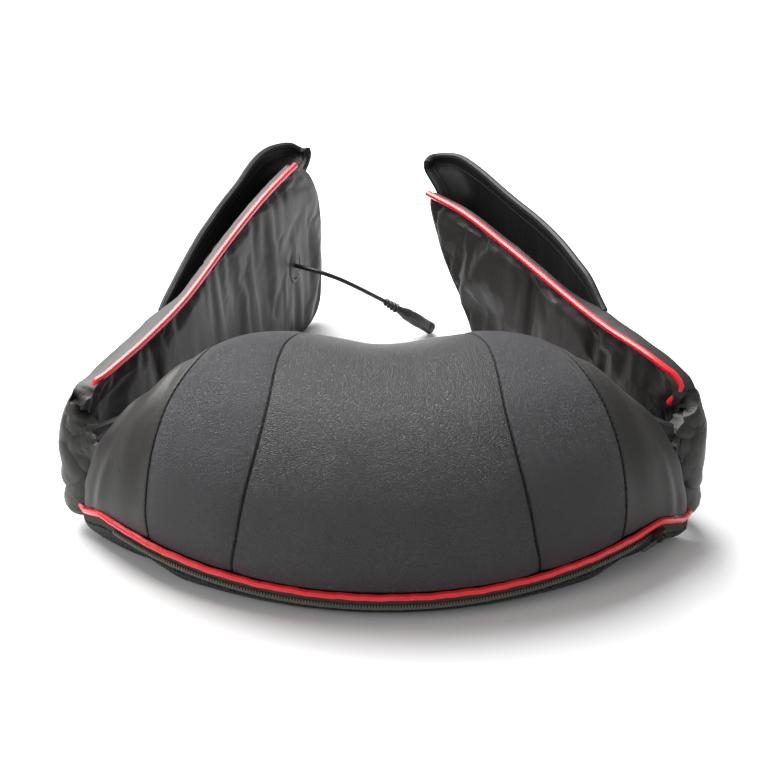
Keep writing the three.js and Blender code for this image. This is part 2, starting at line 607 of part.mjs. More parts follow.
function addStrap({ name, sign }) {
  const strap = straps[name];
  const frame = new THREE.Group();
  frame.position.set(sign * strapHinge.x, strapHinge.y, 0);
  frame.rotation.z = degToRad(strap.heading);
  massager.add(frame);
  const outward = (n) => -sign * n; // the frame's y for a distance outward

  const outline = new THREE.Shape();
  const vectors = (points) => points.map(([s, z]) => new THREE.Vector2(s, z));
  outline.moveTo(8, 15).quadraticCurveTo(26, 12, 52, 0).lineTo(strap.footEnd, 0);
  outline.quadraticCurveTo(strap.tipEdge[0][0] - 2, 2, ...strap.tipEdge[0]);
  outline.splineThru(vectors(strap.tipEdge.slice(1)));
  outline.splineThru(vectors(strap.top.slice(0, -1).reverse())).closePath();
  const thick = panelFaces.outer - panelFaces.inner;
  const panel = new THREE.ExtrudeGeometry(outline, {
    depth: thick - 2, bevelEnabled: true, bevelThickness: 1, bevelSize: 1, bevelOffset: -1, bevelSegments: 1,
    curveSegments: 3,
  });
  const middleN = outward((panelFaces.inner + panelFaces.outer) / 2);
  panel.translate(0, 0, -(thick - 2) / 2).rotateX(Math.PI / 2).translate(0, middleN, 0);
  add(frame, name + "_strap_panel", panel, strapFabric);

  // The loop's outer layer leaves the panel, bows outward and meets it again at the tip.
  const planPoints = strap.plan.map(([s, n]) => new THREE.Vector3(s, n, 0));
  const plan = new THREE.CatmullRomCurve3(planPoints, false, "centripetal");
  const start = strap.plan[0][0];
  const loop = shapedBox(18, 4, 1, (u, v, w) => {
    const at = plan.getPointAt(u);
    const way = plan.getTangentAt(u);
    const off = (w - 0.5) * loopThickness;
    const z = lerp(0, between(strap.loopTop, at.x), v);
    const tipward = between(strap.reach, z);
    return new THREE.Vector3(start + (at.x - way.y * off - start) * tipward, outward(at.y + way.x * off), z);
  });
  add(frame, name + "_loop_panel", sign < 0 ? reversed(loop) : loop, loopFabric);

  const lift = pipingRadius + 1;
  const edge = strap.top.map(([s, z]) => new THREE.Vector3(s, outward(panelFaces.inner - 1), z + lift));
  add(frame, name + "_strap_piping", tube(edge, pipingRadius, 24), redPiping);
  return frame;
}

// The buttons sit in a bezel on the outer side of the right loop.
function addControls(frame) {
  const { s, z, n, length, width, spacing, buttonRadius } = controls;
  const facing = (radius, n0, n1, at) =>
    upright(radius, 0, n1 - n0, 16).rotateX(Math.PI / 2).translate(at, -n0, z);
  const spots = [-1, 0, 1].map((k) => s + k * spacing);
  const bezel = block(s - length / 2, s + length / 2, -n - 2.6, -n, z - width / 2, z + width / 2);
  const holes = spots.map((at) => facing(buttonRadius + GAP, n - 2, n + 6, at));
  add(frame, "control_bezel", cut(bezel, ...holes), blackPlastic);
  ["power_button", "direction_button", "heat_button"].forEach((name, i) =>
    add(frame, name, facing(buttonRadius, n + controls.travel + 0.4, n + 4, spots[i]), buttonPlastic));
}

// ---------------------------------------------------------------- power lead

const lead = { radius: 1.75, eyeletAt: 290, eyeletHeight: 72, bootLength: 15 };
// The lead leaves the eyelet square to the strap, droops and ends at its boot.
const leadRoute = [
  [-73.5, 304.5, 72], [-69.5, 302.5, 72.2], [-65.5, 300.6, 72.1], [-61, 299, 71.6],
  [-56, 297.9, 70.7], [-51, 297.4, 69.3], [-46, 297.3, 67.4], [-41, 297.7, 65.1],
  [-36, 298.5, 62.4], [-31, 299.5, 59.3], [-26, 300.6, 56], [-21, 301.8, 52.5],
  [-16, 303.1, 48.9], [-11, 304.5, 45.2], [-6, 306, 41.4], [-1, 307.5, 37.6],
].map((point) => new THREE.Vector3(...point));
const connectorEnd = new THREE.Vector3(38, 319.6, 4.6);

function addLead(frame) {
  const { radius, eyeletAt, eyeletHeight, bootLength } = lead;
  const hole = radius + 0.5;
  const eyelet = turned([
    [hole, 0], [12, 0], [12, 1.4], [10.8, 2.6], [9, 2.6], [8, 1.2], [hole, 1.2], [hole, 0],
  ], 20).rotateX(Math.PI / 2).translate(eyeletAt, panelFaces.inner - GAP, eyeletHeight);
  add(frame, "cord_grommet", eyelet, blackPlastic);
  add(massager, "power_lead", tube(leadRoute, radius, 26), cordPlastic);

  // The boot and the connector lie on the line from the lead's end to the floor.
  const start = leadRoute[leadRoute.length - 1];
  const way = connectorEnd.clone().sub(start);
  const total = way.length();
  way.normalize();
  const turn = new THREE.Quaternion().setFromUnitVectors(new THREE.Vector3(0, 0, 1), way);
  const onLine = (mesh, at) => {
    mesh.position.copy(start).addScaledVector(way, at);
    mesh.quaternion.copy(turn);
  };
  const rings = [0, 1, 2, 3].flatMap((k) => [
    [2.4 + k * 0.15, 1 + k * 3.4], [3.3 + k * 0.25, 1.4 + k * 3.4], [3.3 + k * 0.25, 3.4 + k * 3.4],
  ]);
  const boot = turned([[0, 0], [2.2, 0], ...rings, [2.9, bootLength], [0, bootLength]], 12);
  onLine(add(massager, "lead_boot", boot, cordPlastic), GAP);
  const body = total - bootLength - 2 * GAP;
  const connector = turned([
    [0, 0], [3, 0], [3.2, 2], [5, 8.5], [5.1, 10], [5.1, body - 1], [4.6, body], [2.8, body], [2.8, body - 9],
    [0, body - 9],
  ], 16);
  onLine(add(massager, "dc_connector", connector, blackPlastic), bootLength + 2 * GAP);
}

addCover();
addPadding();
addPiping();
addZip();
addHousing();
addMotor();
addDrive();
addHeads();
addBoard();
const [leftStrap, rightStrap] = sides.map(addStrap);
addControls(rightStrap);
addLead(leftStrap);

export default massager;
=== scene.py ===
"""The looks of a padded shiatsu neck massager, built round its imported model."""

import json
import math

import bpy
import numpy as np
from bpy.props import FloatProperty, FloatVectorProperty, PointerProperty
from mathutils import Matrix, Vector


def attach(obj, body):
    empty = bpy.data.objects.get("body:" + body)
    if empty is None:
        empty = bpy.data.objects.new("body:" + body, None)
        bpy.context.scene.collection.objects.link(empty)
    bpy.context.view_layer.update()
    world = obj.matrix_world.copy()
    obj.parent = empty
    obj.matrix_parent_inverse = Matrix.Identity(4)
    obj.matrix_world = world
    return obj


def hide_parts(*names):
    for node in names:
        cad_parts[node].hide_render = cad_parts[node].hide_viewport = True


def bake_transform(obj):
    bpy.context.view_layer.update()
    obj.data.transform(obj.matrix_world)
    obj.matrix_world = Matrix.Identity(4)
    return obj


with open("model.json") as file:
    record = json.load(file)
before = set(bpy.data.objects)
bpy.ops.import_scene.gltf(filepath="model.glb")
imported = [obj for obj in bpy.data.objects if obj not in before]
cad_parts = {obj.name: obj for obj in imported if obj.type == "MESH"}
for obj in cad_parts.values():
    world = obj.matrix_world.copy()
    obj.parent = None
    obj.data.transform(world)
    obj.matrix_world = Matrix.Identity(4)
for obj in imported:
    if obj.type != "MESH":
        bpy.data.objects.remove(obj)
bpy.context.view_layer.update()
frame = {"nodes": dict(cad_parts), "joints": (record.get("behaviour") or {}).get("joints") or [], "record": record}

bl_info = {
    "name": "Neck Massager Maker",
    "version": (1, 0, 0),
    "blender": (4, 5, 0),
    "location": "View3D > Sidebar > Massager",
    "description": "Builds the covers, straps, piping, zip and lead of a padded neck massager",
    "category": "Object",
}

MM = 0.001
SIDES = (("left", -1), ("right", 1))
JOINTS = {joint["name"]: joint for joint in frame["joints"]}


# ------------------------------------------------------------------ settings


class CoverSettings(bpy.types.PropertyGroup):
    """Sizes and colours of the body's cover."""

    leather_color: FloatVectorProperty(
        name="Leather", description="Colour of the pebbled leather", subtype="COLOR",
        size=3, min=0, max=1, default=(0.015, 0.015, 0.0165))
    fabric_color: FloatVectorProperty(
        name="Satin fabric", description="Colour of the end panels and straps", subtype="COLOR",
        size=3, min=0, max=1, default=(0.019, 0.0178, 0.0166))
    lining_color: FloatVectorProperty(
        name="Loop fabric", description="Colour of the hand loops", subtype="COLOR",
        size=3, min=0, max=1, default=(0.003, 0.003, 0.0033))
    piping_color: FloatVectorProperty(
        name="Piping", description="Colour of the glossy vinyl piping", subtype="COLOR",
        size=3, min=0, max=1, default=(0.72, 0.012, 0.02))
    leather_thickness: FloatProperty(
        name="Leather thickness", description="Leather with its thin backing foam",
        subtype="DISTANCE", unit="LENGTH", min=0.001, max=0.006, default=0.0026)
    piping_radius: FloatProperty(
        name="Piping radius", description="Radius of the red piping", subtype="DISTANCE",
        unit="LENGTH", min=0.001, max=0.005, default=0.0024)
    stitch_pitch: FloatProperty(
        name="Stitch pitch", description="Length of one stitch with the gap after it",
        subtype="DISTANCE", unit="LENGTH", min=0.002, max=0.01, default=0.0042)


class StrapSettings(bpy.types.PropertyGroup):
    """Sizes of the straps and their hand loops."""

    pad_thickness: FloatProperty(
        name="Pad thickness", description="Thickness of the padded strap", subtype="DISTANCE",
        unit="LENGTH", min=0.004, max=0.02, default=0.009)
    corner_thickness: FloatProperty(
        name="Corner thickness", description="Thickness of the gathered fold at each corner",
        subtype="DISTANCE", unit="LENGTH", min=0.008, max=0.03, default=0.017)
    loop_thickness: FloatProperty(
        name="Loop thickness", description="Thickness of the loop's outer layer",
        subtype="DISTANCE", unit="LENGTH", min=0.002, max=0.01, default=0.0048)


class LeadSettings(bpy.types.PropertyGroup):
    """Sizes of the inlet lead."""

    diameter: FloatProperty(
        name="Lead diameter", description="Outer diameter of the lead", subtype="DISTANCE",
        unit="LENGTH", min=0.002, max=0.006, default=0.0035)


class StageSettings(bpy.types.PropertyGroup):
    """The studio."""

    floor_color: FloatVectorProperty(
        name="Floor", description="Colour of the floor", subtype="COLOR", size=3, min=0, max=1,
        default=(0.76, 0.76, 0.76))
    key_power: FloatProperty(
        name="Key light", description="Power of the large light above", unit="POWER", min=0, default=90)


# ------------------------------------------------------------------ shader nodes


class Wire:
    """A socket that takes part in plain arithmetic and adds Math nodes as it does."""

    def __init__(self, paint, socket):
        self.paint = paint
        self.socket = socket

    def math(self, operation, *values):
        return self.paint.node("ShaderNodeMath", {"operation": operation}, dict(enumerate(values)))

    def __add__(self, other):
        return self.math("ADD", self, other)

    def __mul__(self, other):
        return self.math("MULTIPLY", self, other)

    def __pow__(self, other):
        return self.math("POWER", self, other)

    __radd__ = __add__
    __rmul__ = __mul__


class Paint:
    """One material with a Principled shader, and a method that adds any other node."""

    def __init__(self, name, **constants):
        self.material = bpy.data.materials.new(name)
        self.material.use_nodes = True
        self.tree = self.material.node_tree
        self.tree.nodes.clear()
        self.shader = self.tree.nodes.new("ShaderNodeBsdfPrincipled")
        output = self.tree.nodes.new("ShaderNodeOutputMaterial")
        self.tree.links.new(self.shader.outputs["BSDF"], output.inputs["Surface"])
        for socket, value in constants.items():
            self.set(self.shader.inputs[socket.replace("_", " ")], value)

    def set(self, socket, value):
        if isinstance(value, Wire):
            self.tree.links.new(value.socket, socket)
        elif hasattr(value, "__len__") and len(value) == 3 and socket.type == "RGBA":
            socket.default_value = (*value, 1.0)
        else:
            socket.default_value = value

    def node(self, kind, settings=None, values=None, out=0):
        """Adds a node, sets its settings, then its sockets, and gives one of its outputs."""
        added = self.tree.nodes.new(kind)
        for key, value in (settings or {}).items():
            setattr(added, key, value)
        for key, value in (values or {}).items():
            self.set(added.inputs[key], value)
        return Wire(self, added.outputs[out])

    def to(self, socket, value):
        self.set(self.shader.inputs[socket], value)

    def place(self, scale=(1, 1, 1)):
        source = self.node("ShaderNodeTexCoord", out="Object")
        return self.node("ShaderNodeMapping", None, {"Vector": source, "Scale": scale})

    def noise(self, where, scale, detail=3.0, roughness=0.5, distortion=0.0):
        return self.node("ShaderNodeTexNoise", None, {
            "Vector": where, "Scale": scale, "Detail": detail, "Roughness": roughness,
            "Distortion": distortion})

    def cells(self, where, scale, feature="F1", randomness=1.0):
        return self.node("ShaderNodeTexVoronoi", {"feature": feature}, {
            "Vector": where, "Scale": scale, "Randomness": randomness})

    def range(self, value, low, high, new_low, new_high):
        return self.node("ShaderNodeMapRange", {"clamp": True}, {
            "Value": value, "From Min": low, "From Max": high, "To Min": new_low, "To Max": new_high})

    def blend(self, factor, a, b):
        """Mixes two colours."""
        mix = self.tree.nodes.new("ShaderNodeMix")
        mix.data_type = "RGBA"
        self.set(mix.inputs[0], factor)
        self.set(mix.inputs[6], a)
        self.set(mix.inputs[7], b)
        return Wire(self, mix.outputs[2])

    def bump(self, height, distance, strength=1.0, under=None):
        values = {"Height": height, "Distance": distance, "Strength": strength}
        if under is not None:
            values["Normal"] = under
        return self.node("ShaderNodeBump", None, values, out="Normal")


def shade(color, amount):
    """A colour made lighter or darker."""
    return tuple(min(1.0, channel * amount) for channel in color)


def leather_paint(name, color, grain, sheen):
    """Pebbled leather: rounded cells of about a millimetre, worn smoother where it is stretched."""
    p = Paint(name, Specular_IOR_Level=0.5)
    where = p.place()
    warp = p.noise(where, 420, 2.0)
    warped = p.node("ShaderNodeVectorMath", {"operation": "MULTIPLY_ADD"}, {
        0: warp, 1: (0.0011, 0.0011, 0.0011), 2: where})
    pebbles = p.range(p.cells(warped, 900 * grain, "DISTANCE_TO_EDGE"), 0.0, 0.34, 0.0, 1.0)
    fine = p.noise(where, 2600, 2.0)
    broad = p.noise(where, 26, 3.0)
    creases = p.noise(where, 150, 4.0, 0.62)
    p.to("Base Color", p.blend(broad, shade(color, 0.82), shade(color, 1.22)))
    p.to("Roughness", p.range(broad * 0.5 + pebbles * 0.5, 0.2, 0.85, sheen + 0.1, sheen - 0.03))
    surface = p.bump(creases, 0.0007, 0.4)
    surface = p.bump(pebbles ** 0.6, 0.0005, 0.8, surface)
    p.to("Normal", p.bump(fine, 0.00008, 0.4, surface))
    return p.material


def satin_paint(name, color, roughness, ribs=1.0):
    """Smooth woven satin with a faint twill line and soft creases; its colour carries painted shade in the crease
    hollows and painted light on the crease ridges.
    """
    p = Paint(name, Specular_IOR_Level=0.34, Sheen_Weight=0.04, Sheen_Roughness=0.4)
    where = p.place()
    threads = p.node("ShaderNodeTexWave", {"wave_type": "BANDS", "bands_direction": "DIAGONAL"}, {
        "Vector": where, "Scale": 620 * ribs, "Distortion": 0.4, "Detail": 1.0})
    cross = p.node("ShaderNodeTexWave", {"wave_type": "BANDS", "bands_direction": "Z"}, {
        "Vector": where, "Scale": 900 * ribs, "Distortion": 0.3, "Detail": 1.0})
    broad = p.noise(where, 18, 3.0)
    creases = p.noise(p.place((1.0, 1.0, 0.28)), 70, 5.0, 0.6, 0.6)
    # Besides a broad random tone, the colour follows the creases' relief: painted shade in the crease hollows and
    # painted light on their ridges.
    p.to("Base Color", p.blend(broad * 0.7 + creases * 0.3, shade(color, 0.72), shade(color, 1.35)))
    p.to("Roughness", p.range(broad, 0.3, 0.7, roughness - 0.05, roughness + 0.07))
    surface = p.bump(creases, 0.0014, 0.45)
    p.to("Normal", p.bump(threads * 0.6 + cross * 0.4, 0.00006, 0.5, surface))
    return p.material


def neck_mesh_paint(name, color):
    """Knitted spacer mesh with open cells."""
    p = Paint(name, Specular_IOR_Level=0.3)
    holes = p.cells(p.place(), 330, "F1", 0.15)
    open_cell = p.range(holes, 0.25, 0.45, 0.0, 1.0)
    # The open cells are painted far darker than the threads round them: painted shade down in the holes, which the
    # bump sinks.
    p.to("Base Color", p.blend(open_cell, shade(color, 0.25), shade(color, 1.5)))
    p.to("Roughness", p.range(open_cell, 0.0, 1.0, 0.95, 0.7))
    p.to("Normal", p.bump(open_cell, 0.0007, 0.8))
    return p.material


def vinyl_paint(name, color):
    """Glossy vinyl over a cord, with a slight unevenness."""
    p = Paint(name, Specular_IOR_Level=0.55, Coat_Weight=0.3, Coat_Roughness=0.12)
    where = p.place()
    broad = p.noise(where, 90, 3.0)
    p.to("Base Color", p.blend(broad, shade(color, 0.86), shade(color, 1.08)))
    p.to("Roughness", p.range(broad, 0.3, 0.7, 0.24, 0.36))
    surface = p.bump(p.noise(where, 240, 2.0), 0.0004, 0.3)
    p.to("Normal", p.bump(p.noise(where, 2400, 2.0), 0.00004, 0.4, surface))
    return p.material


def woven_paint(name, color, scale, roughness=0.85):
    """Coarse woven tape or thread."""
    p = Paint(name, Specular_IOR_Level=0.3)
    where = p.place()
    warp = p.node("ShaderNodeTexWave", {"wave_type": "BANDS", "bands_direction": "X"}, {
        "Vector": where, "Scale": scale, "Distortion": 1.0, "Detail": 1.0})
    weft = p.node("ShaderNodeTexWave", {"wave_type": "BANDS", "bands_direction": "Z"}, {
        "Vector": where, "Scale": scale * 1.2, "Distortion": 1.0, "Detail": 1.0})
    weave = warp * weft
    # The colour follows the weave's relief: painted shade in the gaps between the threads and painted light on the
    # raised threads.
    p.to("Base Color", p.blend(weave, shade(color, 0.55), shade(color, 1.5)))
    p.to("Roughness", p.range(weave, 0.0, 1.0, roughness + 0.08, roughness - 0.08))
    p.to("Normal", p.bump(weave, 0.00022, 0.8))
    return p.material


def plastic_paint(name, color, roughness, grain=1500, depth=0.00004):
    """Moulded plastic with a fine tooled texture and slight rubbing."""
    p = Paint(name, Specular_IOR_Level=0.5)
    where = p.place()
    broad = p.noise(where, 45, 3.0)
    texture = p.noise(where, grain, 2.0)
    p.to("Base Color", p.blend(broad, shade(color, 0.85), shade(color, 1.2)))
    p.to("Roughness", p.range(broad, 0.3, 0.7, roughness - 0.06, roughness + 0.06))
    p.to("Normal", p.bump(texture, depth, 0.5))
    return p.material


def metal_paint(name, color, roughness):
    """Metal with fine lines from turning or drawing."""
    p = Paint(name, Metallic=1.0)
    lines = p.noise(p.place((1, 14, 14)), 260, 3.0)
    stain = p.noise(p.place(), 60, 3.0)
    p.to("Base Color", p.blend(stain, shade(color, 0.8), shade(color, 1.1)))
    p.to("Roughness", p.range(lines, 0.2, 0.8, roughness - 0.1, roughness + 0.12))
    p.to("Normal", p.bump(lines, 0.00003, 0.4))
    return p.material


def foam_paint(name, color):
    """Open-cell foam."""
    p = Paint(name, Specular_IOR_Level=0.2)
    cells = p.cells(p.place(), 900)
    # Painted shade in the pores: the colour darkens towards each cell's centre, where the bump sinks lowest.
    p.to("Base Color", p.blend(cells, shade(color, 0.6), shade(color, 1.2)))
    p.to("Roughness", p.range(cells, 0.0, 0.7, 0.98, 0.85))
    p.to("Normal", p.bump(cells, 0.0003, 0.7))
    return p.material


def board_paint(name, color):
    """Circuit board lacquer with faint tracks under it."""
    p = Paint(name, Specular_IOR_Level=0.5)
    tracks = p.range(p.cells(p.place(), 300, "DISTANCE_TO_EDGE"), 0.04, 0.1, 1.0, 0.0)
    p.to("Base Color", p.blend(tracks, color, shade(color, 2.0)))
    p.to("Roughness", p.range(tracks, 0.0, 1.0, 0.4, 0.3))
    p.to("Normal", p.bump(tracks, 0.00004, 0.5))
    return p.material


PAINTS = {}


# ------------------------------------------------------------------ curves and outlines


def smooth(knots, x):
    """A smooth value between (x, y) knots, level at both ends."""
    xs, ys = (np.array(column, float) for column in zip(*knots))
    x = np.clip(np.asarray(x, float), xs[0], xs[-1])
    i = np.clip(np.searchsorted(xs, x, side="right") - 1, 0, len(xs) - 2)
    slope = np.zeros(len(xs))
    slope[1:-1] = (ys[2:] - ys[:-2]) / (xs[2:] - xs[:-2])
    step = xs[i + 1] - xs[i]
    t = (x - xs[i]) / step
    return (ys[i] * (2 * t**3 - 3 * t**2 + 1) + step * slope[i] * (t**3 - 2 * t**2 + t)
            + ys[i + 1] * (3 * t**2 - 2 * t**3) + step * slope[i + 1] * (t**3 - t**2))


def through(points, share, closed=False):
    """Points on a centripetal Catmull-Rom curve at shares of its knots, as numpy rows."""
    knots = np.asarray(points, float)
    count = len(knots)
    if closed:
        at = (np.asarray(share, float) % 1.0) * count
        i = np.floor(at).astype(int)
        picks = [knots[(i + k) % count] for k in (-1, 0, 1, 2)]
    else:
        at = np.clip(np.asarray(share, float), 0, 1) * (count - 1)
        i = np.minimum(np.floor(at).astype(int), count - 2)
        longer = np.vstack([2 * knots[0] - knots[1], knots, 2 * knots[-1] - knots[-2]])
        picks = [longer[i + k] for k in range(4)]
    t = (at - i)[..., None]
    p0, p1, p2, p3 = picks
    d0, d1, d2 = (
        np.maximum(np.sqrt(np.linalg.norm(b - a, axis=-1)), 1e-6)[..., None]
        for a, b in ((p0, p1), (p1, p2), (p2, p3)))
    m1 = ((p1 - p0) / d0 - (p2 - p0) / (d0 + d1) + (p2 - p1) / d1) * d1
    m2 = ((p2 - p1) / d1 - (p3 - p1) / (d1 + d2) + (p3 - p2) / d2) * d1
    return (p1 + m1 * t + (3 * (p2 - p1) - 2 * m1 - m2) * t**2
            + (2 * (p1 - p2) + m1 + m2) * t**3)


def even(points, count, closed=False):
    """count points evenly spaced along a smooth curve through points."""
    fine = through(points, np.linspace(0, 1, 40 * len(points)), closed)
    steps = np.linalg.norm(np.diff(fine, axis=0), axis=1)
    run = np.concatenate([[0], np.cumsum(steps)])
    wanted = np.linspace(0, run[-1], count)
    return np.stack([np.interp(wanted, run, fine[:, k]) for k in range(fine.shape[1])], axis=-1)


def ripple(x, y, seed):
    """Gentle, repeatable unevenness between about -1 and 1."""
    total = 0.0
    for k in range(1, 6):
        a = 2.399 * (k + seed)
        f = 0.6 + 0.45 * k
        total = total + np.sin(f * (x * np.cos(a) + y * np.sin(a)) + 1.7 * k * seed + a) / k
    return total / 2.2


# ------------------------------------------------------------------ the body's form, in millimetres

SECTION = [
    (294, 22), (297, 52), (285, 94), (249, 131), (202, 146), (155, 135), (121, 105),
    (110, 72), (121, 43), (156, 17), (197, -2), (236, -4), (272, -3), (291, 7),
]
RIM = {"centre_y": 225, "radius": 294, "height": 22, "band_foot": 7, "slope": 0.2}
MIDDLE = {"inner": 110, "crown": 146}
BODY_END = 50.3
INNER_RADIUS = [
    (0, 110), (20, 111), (32.5, 130), (38, 160), (41.8, 194), (45, 236), (47.5, 262), (BODY_END, 269),
]
OUTER_RADIUS = [(0, 294), (41, 294), (47.5, 290), (BODY_END, 284)]
CROWN = [
    (0, 148), (8, 149), (18, 151), (27, 152), (33, 148), (38, 136), (41.8, 116), (47.5, 98), (BODY_END, 88),
]
LIFT = [(41, 0), (47.5, 3), (BODY_END, 6)]
# How much of the rim's climb is kept towards the left and the right end, which sags lower.
CLIMB_KEPT = ([(41, 1), (47.5, 0.2)], [(39, 1), (47.5, -0.15)])
# The base's outer edge tucks up under the rim towards the ends.
TUCK_ANGLES = [(29, 0), (37, 1)]
TUCK_SHARES = [(0.86, 0), (0.95, 1)]
BASE_LIFT = [(38, 0), (44, 3.5), (48, 5)]
SEAM_ANGLES = {
    "inner": [
        (0, 20.8), (0.08, 19.7), (0.17, 18.5), (0.22, 18.7), (0.28, 20.5), (0.31, 21.3), (0.4, 22), (0.5, 22),
    ],
    "outer": [(0, 33.6), (0.12, 33.6), (0.2, 34.2), (0.27, 34.4), (0.34, 35.5), (0.5, 36)],
}
UPPER_RIM = 0.5
ZIP_SHARE = 0.958
KNEAD = JOINTS["right_knead"]
HEAD_X = KNEAD["pos_m"][0] / MM
DRIVE = np.array([0, KNEAD["pos_m"][1], KNEAD["pos_m"][2]]) / MM
DRIVE_Z = np.array(KNEAD["axis"])
DRIVE_Y = np.array([0, DRIVE_Z[2], -DRIVE_Z[1]])
NODE_RING = 35


def body_point(angle, share, depth=0.0):
    """The body's surface at an angle along it and a share of its section, in millimetres."""
    angle, share, depth = np.broadcast_arrays(*(np.asarray(v, float) for v in (angle, share, depth)))
    size = np.abs(angle)
    inner, outer = smooth(INNER_RADIUS, size), smooth(OUTER_RADIUS, size)
    crown, lift = smooth(CROWN, size), smooth(LIFT, size)
    at = through(SECTION, share, closed=True)
    across = (at[..., 0] - MIDDLE["inner"]) / (RIM["radius"] - MIDDLE["inner"])
    above = np.maximum(0, at[..., 1] - RIM["height"]) / (MIDDLE["crown"] - RIM["height"])
    low = np.clip(at[..., 1], 0, RIM["height"])
    kept = np.where(angle < 0, smooth(CLIMB_KEPT[0], size), smooth(CLIMB_KEPT[1], size))
    climb = RIM["slope"] * RIM["radius"] * (1 - np.cos(np.radians(size))) * kept
    foot = np.minimum(1, low / RIM["band_foot"])
    climb = climb * (foot + (1 - foot) * smooth(TUCK_ANGLES, size) * smooth(TUCK_SHARES, across))
    low = low + smooth(BASE_LIFT, size) * (1 - low / RIM["height"])
    r = inner + (outer - inner) * across
    z = low + (lift + climb) * (1 - above) + above * (crown - RIM["height"])
    core_r, core_z = (inner + outer) / 2 + 4, lift + (crown - lift) * 0.42
    keep = 1 - depth / np.maximum(np.hypot(r - core_r, z - core_z), 1e-6)
    r, z = core_r + (r - core_r) * keep, core_z + (z - core_z) * keep
    a = np.radians(angle)
    return np.stack([r * np.sin(a), RIM["centre_y"] - r * np.cos(a), z], axis=-1)


def neck_point(angle, share, depth=0.0):
    """The neck side, which swells over the path of the kneading nodes."""
    point = body_point(angle, share, depth)
    local = point - DRIVE
    local_y = local @ DRIVE_Y
    from_head = np.hypot(np.abs(local[..., 0]) - HEAD_X, local_y)
    swell = 6 * np.exp(-(((from_head - NODE_RING) / 15) ** 2))
    point = point - swell[..., None] * DRIVE_Z
    point[..., 2] = np.maximum(point[..., 2], depth)
    return point


# ------------------------------------------------------------------ mesh making


def alone(obj):
    """Selects one object and makes it active."""
    bpy.ops.object.select_all(action="DESELECT")
    obj.select_set(True)
    bpy.context.view_layer.objects.active = obj


def apply_modifier(obj, kind, **settings):
    alone(obj)
    modifier = obj.modifiers.new(kind.title(), kind)
    for key, value in settings.items():
        setattr(modifier, key, value)
    bpy.ops.object.modifier_apply(modifier=modifier.name)


def coordinates(obj):
    places = np.zeros(len(obj.data.vertices) * 3)
    obj.data.vertices.foreach_get("co", places)
    return places.reshape(-1, 3)


def set_coordinates(obj, places):
    obj.data.vertices.foreach_set("co", np.asarray(places, float).ravel())
    obj.data.update()


def finish_piece(obj, paint, body=None, smooth_angle=40):
    """Gives a piece its paint and smooth shading, and puts it on its body."""
    obj.data.materials.clear()
    obj.data.materials.append(PAINTS[paint])
    alone(obj)
    bpy.ops.object.shade_smooth_by_angle(angle=math.radians(smooth_angle))
    if body:
        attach(obj, body)
    return obj


def sheet_of(name, columns, rows, place, **weights):
    """A grid primitive whose points are moved to place(u, v), given in millimetres.

    Each of weights is a function of (u, v) that fills a vertex group of that name.
    """
    bpy.ops.object.select_all(action="DESELECT")
    bpy.ops.mesh.primitive_grid_add(x_subdivisions=columns, y_subdivisions=rows, size=1)
    obj = bpy.context.object
    obj.name = obj.data.name = name
    flat = coordinates(obj) + 0.5
    set_coordinates(obj, place(flat[:, 0], flat[:, 1]) * MM)
    for key, weight in weights.items():
        group = obj.vertex_groups.new(name=key)
        for i, value in enumerate(weight(flat[:, 0], flat[:, 1])):
            group.add([i], float(value), "REPLACE")
    return obj


def turn_inside_out(obj):
    """Flips the faces of a mirrored sheet, so they point outwards."""
    alone(obj)
    bpy.ops.object.mode_set(mode="EDIT")
    bpy.ops.mesh.select_all(action="SELECT")
    bpy.ops.mesh.flip_normals()
    bpy.ops.object.mode_set(mode="OBJECT")


def puff(obj, pressure, slack, cap, held="held", frames=16):
    """Swells a closed form as stuffed cloth. Points of the held group stay where they are."""
    scene = bpy.context.scene
    before = coordinates(obj)
    alone(obj)
    cloth = obj.modifiers.new("Cloth", "CLOTH")
    cloth.settings.quality = 4
    cloth.settings.mass = 0.3
    cloth.settings.tension_stiffness = cloth.settings.compression_stiffness = 12
    cloth.settings.bending_stiffness = 0.35
    cloth.settings.use_pressure = True
    cloth.settings.uniform_pressure_force = pressure
    cloth.settings.shrink_min = -slack
    cloth.settings.vertex_group_mass = held
    cloth.settings.effector_weights.gravity = 0
    cloth.point_cache.frame_end = frames
    for number in range(1, frames + 1):
        scene.frame_set(number)
    bpy.ops.object.modifier_apply(modifier=cloth.name)
    scene.frame_set(1)
    moved = coordinates(obj) - before
    far = np.linalg.norm(moved, axis=1, keepdims=True)
    set_coordinates(obj, before + moved * np.minimum(1, cap * MM / np.maximum(far, 1e-9)))


def thicken(obj, thickness, rounding, segments, offset=-1.0):
    """Gives a sheet a wall and rounds its rim. The sheet's faces point outwards already."""
    apply_modifier(obj, "SOLIDIFY", thickness=thickness, offset=offset, use_even_offset=False)
    apply_modifier(obj, "BEVEL", width=rounding, segments=segments, limit_method="ANGLE",
                   angle_limit=math.radians(50), use_clamp_overlap=True)


def tube_of(name, points, radius, sides=10, steps=None):
    """A tube along a smooth curve through points in millimetres, as a mesh."""
    points = np.asarray(points, float)
    if steps:
        points = even(points, steps)
    curve = bpy.data.curves.new(name, "CURVE")
    curve.dimensions = "3D"
    spline = curve.splines.new("POLY")
    spline.points.add(len(points) - 1)
    spline.points.foreach_set("co", np.hstack([points * MM, np.ones((len(points), 1))]).ravel())
    curve.bevel_depth = radius * MM
    curve.bevel_resolution = max(1, sides // 4 - 1)
    curve.use_fill_caps = True
    curve.resolution_u = 1
    obj = bpy.data.objects.new(name, curve)
    bpy.context.scene.collection.objects.link(obj)
    alone(obj)
    bpy.ops.object.convert(target="MESH")
    obj = bpy.context.object
    obj.name = obj.data.name = name
    return obj


